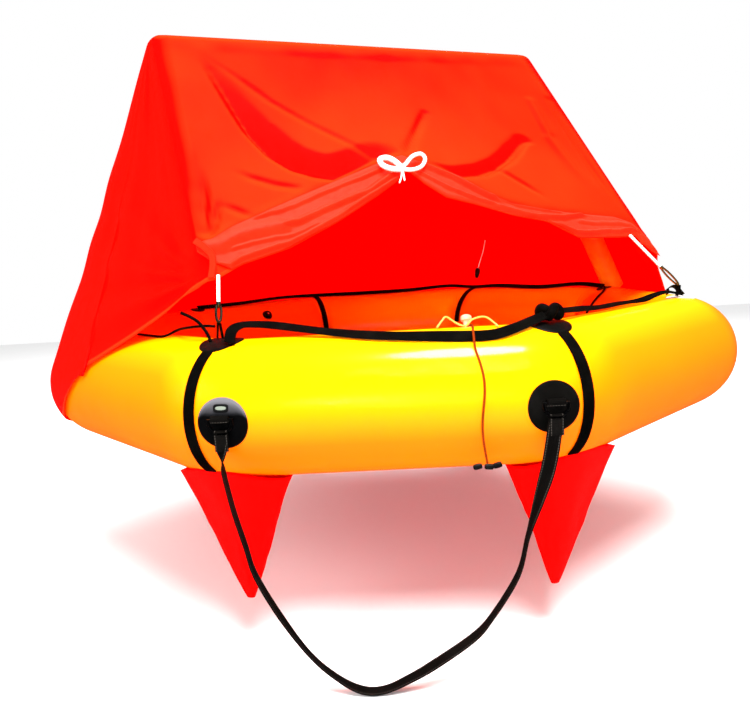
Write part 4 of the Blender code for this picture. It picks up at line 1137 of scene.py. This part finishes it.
def build_boarding_strap():
    """The hanging webbing step. Its turns ride in the route's y, which is then set to the hinge's."""
    path = smooth_route([(x, turn * TURN_STEP, z) for x, z, turn in STRAP_ROUTE], 130)
    across = []
    for point in path:
        across.append(heading(-max(0.0, min(1.0, point.y / TURN_STEP)) * math.pi / 2))
        point.y = HINGE_Y
    item = ribbon("strap_webbing", path, across, STRAP_WIDTH, 0.0022, STRAP_WEB, body="strap_loop",
                  replaces="boarding_strap")
    eyes = [build_eye("left", -STRAP_PATCH_X), build_eye("right", STRAP_PATCH_X)]


def build_eye(name, x):
    """The strap's end, folded over the ring's bow and sewn to itself."""
    bow_z, radius = HINGE_Z - RING_DROP, 0.0046
    turns = [math.radians(step - 80) for step in even(340, 24)[1:-1]]
    path = [Vector((x, HINGE_Y + math.sin(turn) * radius, bow_z + 0.0002 + math.cos(turn) * radius))
            for turn in turns]
    path += [Vector((x, HINGE_Y - 0.0028, bow_z - 0.006 - 0.004 * i)) for i in range(1, 7)]
    return ribbon("strap_eye_" + name, path, [Vector((1, 0, 0))] * len(path), STRAP_WIDTH * 0.92, 0.0018,
                  STRAP_WEB, body="strap_loop")


# Lifelines: tube place in corner pitches, degrees around the tube, height above it.
FRONT_LINE_LEFT = ((5.047, 70, ON_PATCH), (5.041, 74, ON_PATCH), (5.036, 83, 0.015), (5.05, 91, 0.021),
                   (5.095, 93, 0.021), (5.16, 92, 0.017), (5.33, 80, 0.005), (5.47, 70, 0.003),
                   (5.64, 64, 0.003), (5.80, 61, 0.003), (5.88, 66, 0.005))
FRONT_LINE_RIGHT = ((6.12, 88, 0.012), (6.22, 90, 0.009), (6.33, 90, 0.006), (6.47, 91, 0.006),
                    (6.66, 93, 0.004), (6.80, 97, 0.009), (6.90, 95, 0.012), (6.965, 86, ON_PATCH))
REAR_LINE = ((2.88, 100, ON_PATCH), (2.6, 104, 0.006), (2.3, 98, 0.008), (2.0, 96, ON_POST),
             (1.7, 104, 0.006), (1.38, 102, 0.006), (1.12, 99, 0.012), (RIGHT_POST, 97, ON_POST),
             (0.7, 100, 0.008), (0.4, 102, 0.003), (0.15, 100, 0.010), (-0.06, 100, ON_PATCH))


def build_lifeline(name, route, seed, width):
    """Flat webbing over the points of a route, lying on the tube and twisting a little."""
    path = smooth_route(route, 90)
    across = []
    for i, point in enumerate(path):
        way = way_at(path, i)
        twist = 0.55 + 0.30 * wobble(i * 0.07, seed, 2.0)
        across.append((Matrix.Rotation(twist, 3, way) @ way.cross(off_tube(point))).normalized())
    item = ribbon(name + "_webbing", path, across, width, 0.0016, BLACK_WEB, replaces=name)


def build_knot(name, middle, size, finish, **more):
    """Two crossing overhand loops of webbing drawn tight, as one closed line."""
    knots = [middle + Vector(((math.sin(t) + 1.1 * math.sin(2 * t)) * size * 0.44,
                              (math.cos(t) - 1.1 * math.cos(2 * t)) * size * 0.30,
                              -math.sin(3 * t) * size * 0.34)) for t in circle(12)]
    round_line(name, smooth_closed(knots, 8), size * 0.36, finish, closed=True, sides=14, sharp=0, **more)


def build_lifelines():
    """The knot on its patch, the two front lines that meet in it, and the rear line."""
    front_lift, rear_lift = 0.005, 0.004
    knot_at = on_tube(6.01 * CORNER_PITCH, 84, ON_PATCH + KNOT_RADIUS + GAP)
    near = (KNOT_RADIUS + 2 * GAP) * 0.8
    to_left, to_right = (knot_at + (point - knot_at).normalized() * near
                         for point in over_tube(((5.95, 76, 0.012), (6.08, 86, 0.020))))
    build_knot("knot_webbing", knot_at, KNOT_RADIUS * 1.35, BLACK_WEB, replaces="lifeline_knot")
    build_lifeline("lifeline_front_left", over_tube(FRONT_LINE_LEFT, front_lift) + [to_left], 4.5, 0.020)
    build_lifeline("lifeline_front_right", [to_right] + over_tube(FRONT_LINE_RIGHT, front_lift), 4.5, 0.016)
    build_lifeline("lifeline_rear", over_tube(REAR_LINE, rear_lift), 3.6, 0.017)


# Ties, hooks and the door's bow.

# Corner ties: the upper end's place and slope share on the panel, the cord's share of the tie, then the
# place on the tube and the height there of the strap end that holds the hook, and the hook's finish.
TIES = (("left", -0.980, 0.826, 0.62, FRONT_LEFT - 0.03, 0.030, DARK_WIRE),
        ("right", 0.895, 0.775, 0.66, RIGHT_FRONT, 0.026, BRASS))
RIGHT_LOOP = ((6.890, 93, 0.013), (6.93, 97, 0.022), (6.97, 95, 0.027), (7.00, 92, 0.024), (7.04, 88, 0.012),
              (7.060, 84, 0.004))


def build_ties():
    """A white cord, a snap hook and a webbing loop at each front corner of the canopy."""
    for name, share, cover, cord_share, at, height, finish in TIES:
        seat = on_tube(at * CORNER_PITCH, 90, ON_PATCH)
        foot = seat + UP * height
        edge = on_door(share, cover, CLOTH + GAP + BAND_THICKNESS / 2)
        middle = edge.lerp(foot, cord_share)
        way = (foot - middle).normalized()
        side = way.cross(FORWARD).normalized()
        reach = (foot - middle).length
        path = [edge.lerp(middle, t) for t in even(1.0, 24)]
        round_line("tie_%s_cord" % name, path, 0.0034, WHITE_CORD, replaces="tie_cord_" + name)
        path = [middle + way * (reach * (0.5 - 0.5 * math.cos(turn))) + side * (0.0050 * math.sin(turn))
                for turn in circle(48)]
        round_line("tie_%s_snap" % name, path, 0.0024, finish, closed=True, sides=10, sharp=0,
                   replaces="tie_hook_" + name)
        collar = [middle + way * (0.0009 * i - 0.003) for i in range(9)]
        round_line("tie_%s_collar" % name, collar, 0.0044, finish, sides=16)
        for number, aside in enumerate((0.002, -0.002)):
            loop = smooth_route([foot + way * 0.002 + side * aside, foot.lerp(seat, 0.5) + side * aside * 1.6,
                                 seat + side * aside * 2.5], 16)
            ribbon("tie_%s_strap_%d" % (name, number), loop, [side.cross(way)] * 16, 0.013, 0.0018, BLACK_WEB)
    path = smooth_route(over_tube(RIGHT_LOOP), 40)
    ribbon("tie_right_loop", path, [(FORWARD + UP * 0.6).normalized()] * 40, 0.012, 0.0018, BLACK_WEB)


# The bow's loops and tails, each from the knot: share and cover on the panel, then height over the band.
BOW_KNOT = (-0.101, 0.524, 0.006)
BOW_LOOPS = (
    ("left", 0.0062, ((-0.127, 0.501, 0.010), (-0.157, 0.489, 0.010), (-0.189, 0.493, 0.008),
                      (-0.187, 0.510, 0.006), (-0.153, 0.524, 0.006))),
    ("right", 0.0046, ((-0.075, 0.510, 0.010), (-0.030, 0.485, 0.011), (0.018, 0.474, 0.009),
                       (0.031, 0.490, 0.007), (-0.003, 0.517, 0.006), (-0.056, 0.529, 0.006))))
BOW_TAILS = (("left", ((-0.119, 0.551, 0.005), (-0.141, 0.573, 0.005))),
             ("right", ((-0.106, 0.547, 0.005), (-0.113, 0.566, 0.005))))


def build_bow():
    """The white tie at the door's peak: two loops, two short tails and a knot."""
    def spots(places):
        return [on_door(share, cover, CLOTH + GAP + BAND_THICKNESS + lift)
                for share, cover, lift in (BOW_KNOT, *places)]

    for name, radius, places in BOW_LOOPS:
        path = smooth_closed(spots(places), 10)
        round_line("bow_loop_" + name, path, radius, WHITE_CORD, closed=True, sharp=0)
    for name, places in BOW_TAILS:
        round_line("bow_tail_" + name, smooth_route(spots(places), 16), 0.0018, WHITE_CORD)
    build_knot("bow_knot", spots(())[0], 0.0085, WHITE_CORD, replaces="door_tie")


# Inflation gear.

HANDLE_S = 5.5 * CORNER_PITCH + 0.155
HANDLE = ((0.0080, 0.0), (0.0085, 0.003), (0.0062, 0.006), (0.0055, 0.011), (0.0070, 0.015), (0.0098, 0.017),
          (0.0110, 0.021), (0.0100, 0.025), (0.0065, 0.0275), (0.0001, 0.028))
BEAD = ((0.0030, -0.0075), (0.0046, -0.0062), (0.0050, -0.002), (0.0050, 0.002), (0.0046, 0.0062),
        (0.0030, 0.0075))
LANYARD = ((5.665, 84, 0.004), (5.685, 93, 0.014), (5.70, 98, 0.020), (5.73, 92, 0.007), (5.755, 86, 0.004),
           (5.78, 94, 0.013), (5.82, 95, 0.016), (5.845, 86, 0.005), (5.85, 80, 0.003))


def build_handle():
    at = on_tube(HANDLE_S, 112, GAP)
    turned("handle_knob", HANDLE, at, off_tube(at), KNOB, replaces="inflation_handle")


def build_pull_cord():
    """The red cord from the handle over the lifeline and down the tube, with three beads at its end."""
    radius, steps, hanging_steps, hanging = 0.002, 22, 7, 0.088
    line_angle, line_height, hump = 62, 0.0135, 15
    cord = []
    for i in range(steps + hanging_steps + 1):
        sway = 0.006 * min(1.0, i / steps) + 0.004 * math.sin(i * 0.45)
        angle = 107 * max(0.0, 1 - i / steps)
        over_line = math.cos(math.pi / 2 * min(1.0, abs(angle - line_angle) / hump)) ** 2 * line_height
        spot = on_tube(HANDLE_S + sway, angle, SEAT + radius + GAP + over_line)
        cord.append(spot - UP * (hanging * max(0, i - steps) / hanging_steps))
    path = smooth_route(cord, 120)
    line = round_line("pull_cord", path, radius, RED_CORD, replaces="inflation_cord")
    below = cord[-1] + (cord[-1] - cord[-2]).normalized() * 0.0053
    for k, (dx, dz, tilt) in enumerate(((-0.017, 0.0, 0.15), (0.002, -0.001, -0.1), (0.016, 0.001, 0.25))):
        axis = Vector((math.cos(tilt), 0, math.sin(tilt)))
        turned("cord_bead_%d" % k, BEAD, below + Vector((dx, 0, dz)), axis, PLASTIC, 24)
    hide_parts("cord_toggle")


def build_lanyard():
    path = smooth_route(over_tube(LANYARD), 90)
    line = round_line("handle_lanyard", path, 0.0018, YELLOW_CORD)


# Small cords. The short one's last knots stand free in the air, as points.
LEFT_LONG = ((4.47, 80, 0.004), (4.58, 79, 0.004), (4.67, 81, 0.004), (4.72, 88, 0.014), (4.84, 82, 0.024),
             (4.93, 84, 0.028), (4.965, 87, 0.026))
LEFT_SHORT = ((-0.3209, -0.7065, 0.2645), (-0.3288, -0.7019, 0.2769), (-0.3403, -0.6963, 0.2899),
              (-0.3554, -0.6923, 0.2996), (-0.3723, -0.6892, 0.3077))
RIGHT_INNER = ((7.93, 100, 0.0045), (7.86, 105, 0.0038), (7.78, 115, 0.0036), (7.74, 126, 0.0036),
               (7.715, 138, 0.0036), (7.71, 152, 0.0036))
LAMP_ROUTE = ((0.355, 0.560, 0.428), (0.350, 0.590, 0.390), (0.343, 0.628, 0.355), (0.338, 0.660, 0.328))
LAMP_BODY = ((0.0030, 0.0), (0.0075, 0.002), (0.0095, 0.010), (0.0085, 0.026), (0.0050, 0.037),
             (0.0001, 0.038))


def build_small_cords():
    """Two thin cords by the left corner, and one on the tube's inner side at the right."""
    short = over_tube(((4.972, 78, ON_PATCH),)) + list(LEFT_SHORT)
    for name, knots, radius in (("left_cord_long", over_tube(LEFT_LONG), 0.0024),
                                ("left_cord_short", short, 0.0028),
                                ("right_inner_cord", over_tube(RIGHT_INNER), 0.0030)):
        path = smooth_route(knots, 60)
        line = round_line(name, path, radius, BLACK_WEB)


def build_lamp():
    """The inside lamp on its cord at the rear of the canopy."""
    path = smooth_route(LAMP_ROUTE, 30)
    line = round_line("lamp_cord", path, 0.0015, PALE_RUBBER)
    lamp = turned("lamp_body", LAMP_BODY, path[-1] + UP * 0.001, Vector((-0.15, 0.25, -1)), PLASTIC, 24)


def finish_solids():
    """The CAD nodes that keep their shapes get their finishes."""
    for name, finish in (("d_ring_left", BLACK_STEEL), ("d_ring_right", BLACK_STEEL),
                         ("inflation_bottle", BOTTLE), ("bottle_valve", PLASTIC)):
        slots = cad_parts[name].data.materials
        if not slots:
            slots.append(finish.material)
        for k in range(len(slots)):
            slots[k] = finish.material


# Studio. Each softbox: name, place, aim, size, watts, whether gloss mirrors it, and spread in degrees.
SOFTBOXES = (
    ("key", (0.4, -2.4, 3.0), (0, -0.5, 0.2), 1.4, 300, False, 180),
    ("top", (0.42, -0.95, 3.3), (0.3, -0.8, 0.2), 0.9, 100, True, 180),
    ("low", (0.1, -2.9, 0.55), (0, 0, 0.2), 0.8, 12, False, 180),
    ("inner", (-0.2, -2.3, 0.64), (0.42, 0.5, 0.20), 0.4, 0.6, False, 26),
    ("fill", (-2.8, -1.8, 1.6), (0, 0, 0.3), 2.0, 60, False, 180),
    ("back", (0.3, 2.8, 2.8), (0, 0, 0.4), 2.0, 200, False, 180),
)
FLOOR_LEVEL, FLOOR_HALF = -0.368, 6.0
SURROUND, SURROUND_IN_GLOSS = 0.85, 0.06


def build_stage():
    """A pale floor under the hanging strap."""
    data = bpy.data.meshes.new("floor")
    corners = [(x * FLOOR_HALF, y * FLOOR_HALF, FLOOR_LEVEL) for x, y in ((-1, -1), (1, -1), (1, 1), (-1, 1))]
    data.from_pydata(corners, [], [(0, 1, 2, 3)])
    floor = new_object("floor", data)
    paint = Finish("floor_paint")
    tone = paint.mix(paint.noise(3.0), rgb(0.93, 0.93, 0.93), rgb(0.95, 0.95, 0.95))
    paint.set(Base_Color=tone, Roughness=0.8)
    data.materials.append(paint.material)
    floor.visible_glossy = False


def build_surround():
    """A white world for the camera, grey as a light and dim in what gloss mirrors."""
    world = bpy.data.worlds.new("studio")
    bpy.context.scene.world = world
    world.use_nodes = True
    made = Nodes(world.node_tree)
    mirrored, seen = (made.add("ShaderNodeLightPath", (), ray) for ray in ("Is Glossy Ray", "Is Camera Ray"))
    light = made.spread(mirrored, 0, 1, SURROUND, SURROUND_IN_GLOSS)
    surround = made.tree.nodes["Background"]
    made.put(surround.inputs[0], (1, 1, 1, 1))
    made.put(surround.inputs[1], made.math("MAXIMUM", seen, light))


def build_softboxes():
    for name, at, aim, size, watts, mirrored, spread in SOFTBOXES:
        data = bpy.data.lights.new(name, "AREA")
        data.shape = "DISK"
        data.size = size
        data.energy = watts
        data.spread = math.radians(spread)
        lamp = new_object(name, data)
        lamp.location = at
        lamp.rotation_euler = (Vector(aim) - Vector(at)).to_track_quat("-Z", "Y").to_euler()
        lamp.visible_glossy = mirrored
    bpy.context.scene.view_settings.view_transform = "Standard"


def make_camera():
    forward = Vector((math.sin(YAW) * math.cos(PITCH), math.cos(YAW) * math.cos(PITCH), math.sin(PITCH)))
    level = Vector((math.cos(YAW), -math.sin(YAW), 0))
    upright = level.cross(forward)
    right = level * math.cos(ROLL) + upright * math.sin(ROLL)
    up = upright * math.cos(ROLL) - level * math.sin(ROLL)
    data = bpy.data.cameras.new("camera")
    data.lens = FOCAL_PIXELS / IMAGE_WIDTH * SENSOR
    data.sensor_width = SENSOR
    data.dof.use_dof = False
    camera = new_object("camera", data)
    turn = Matrix((right, up, -forward)).transposed().to_4x4()
    camera.matrix_world = Matrix.Translation(CAMERA_AT) @ turn
    bpy.context.scene.camera = camera


build_tube()
build_floor()
build_arch()
build_canopy()
build_band()
for number, (bag, corner, lean) in enumerate(BAGS):
    build_bag("ballast_bag_" + bag, corner, lean, 1.0 + 1.7 * number)
build_patches()
build_valve()
build_discs()
build_boarding_strap()
build_lifelines()
build_ties()
build_bow()
build_handle()
build_pull_cord()
build_lanyard()
build_small_cords()
build_lamp()
finish_solids()
build_stage()
build_surround()
build_softboxes()
make_camera()
bpy.context.view_layer.update()
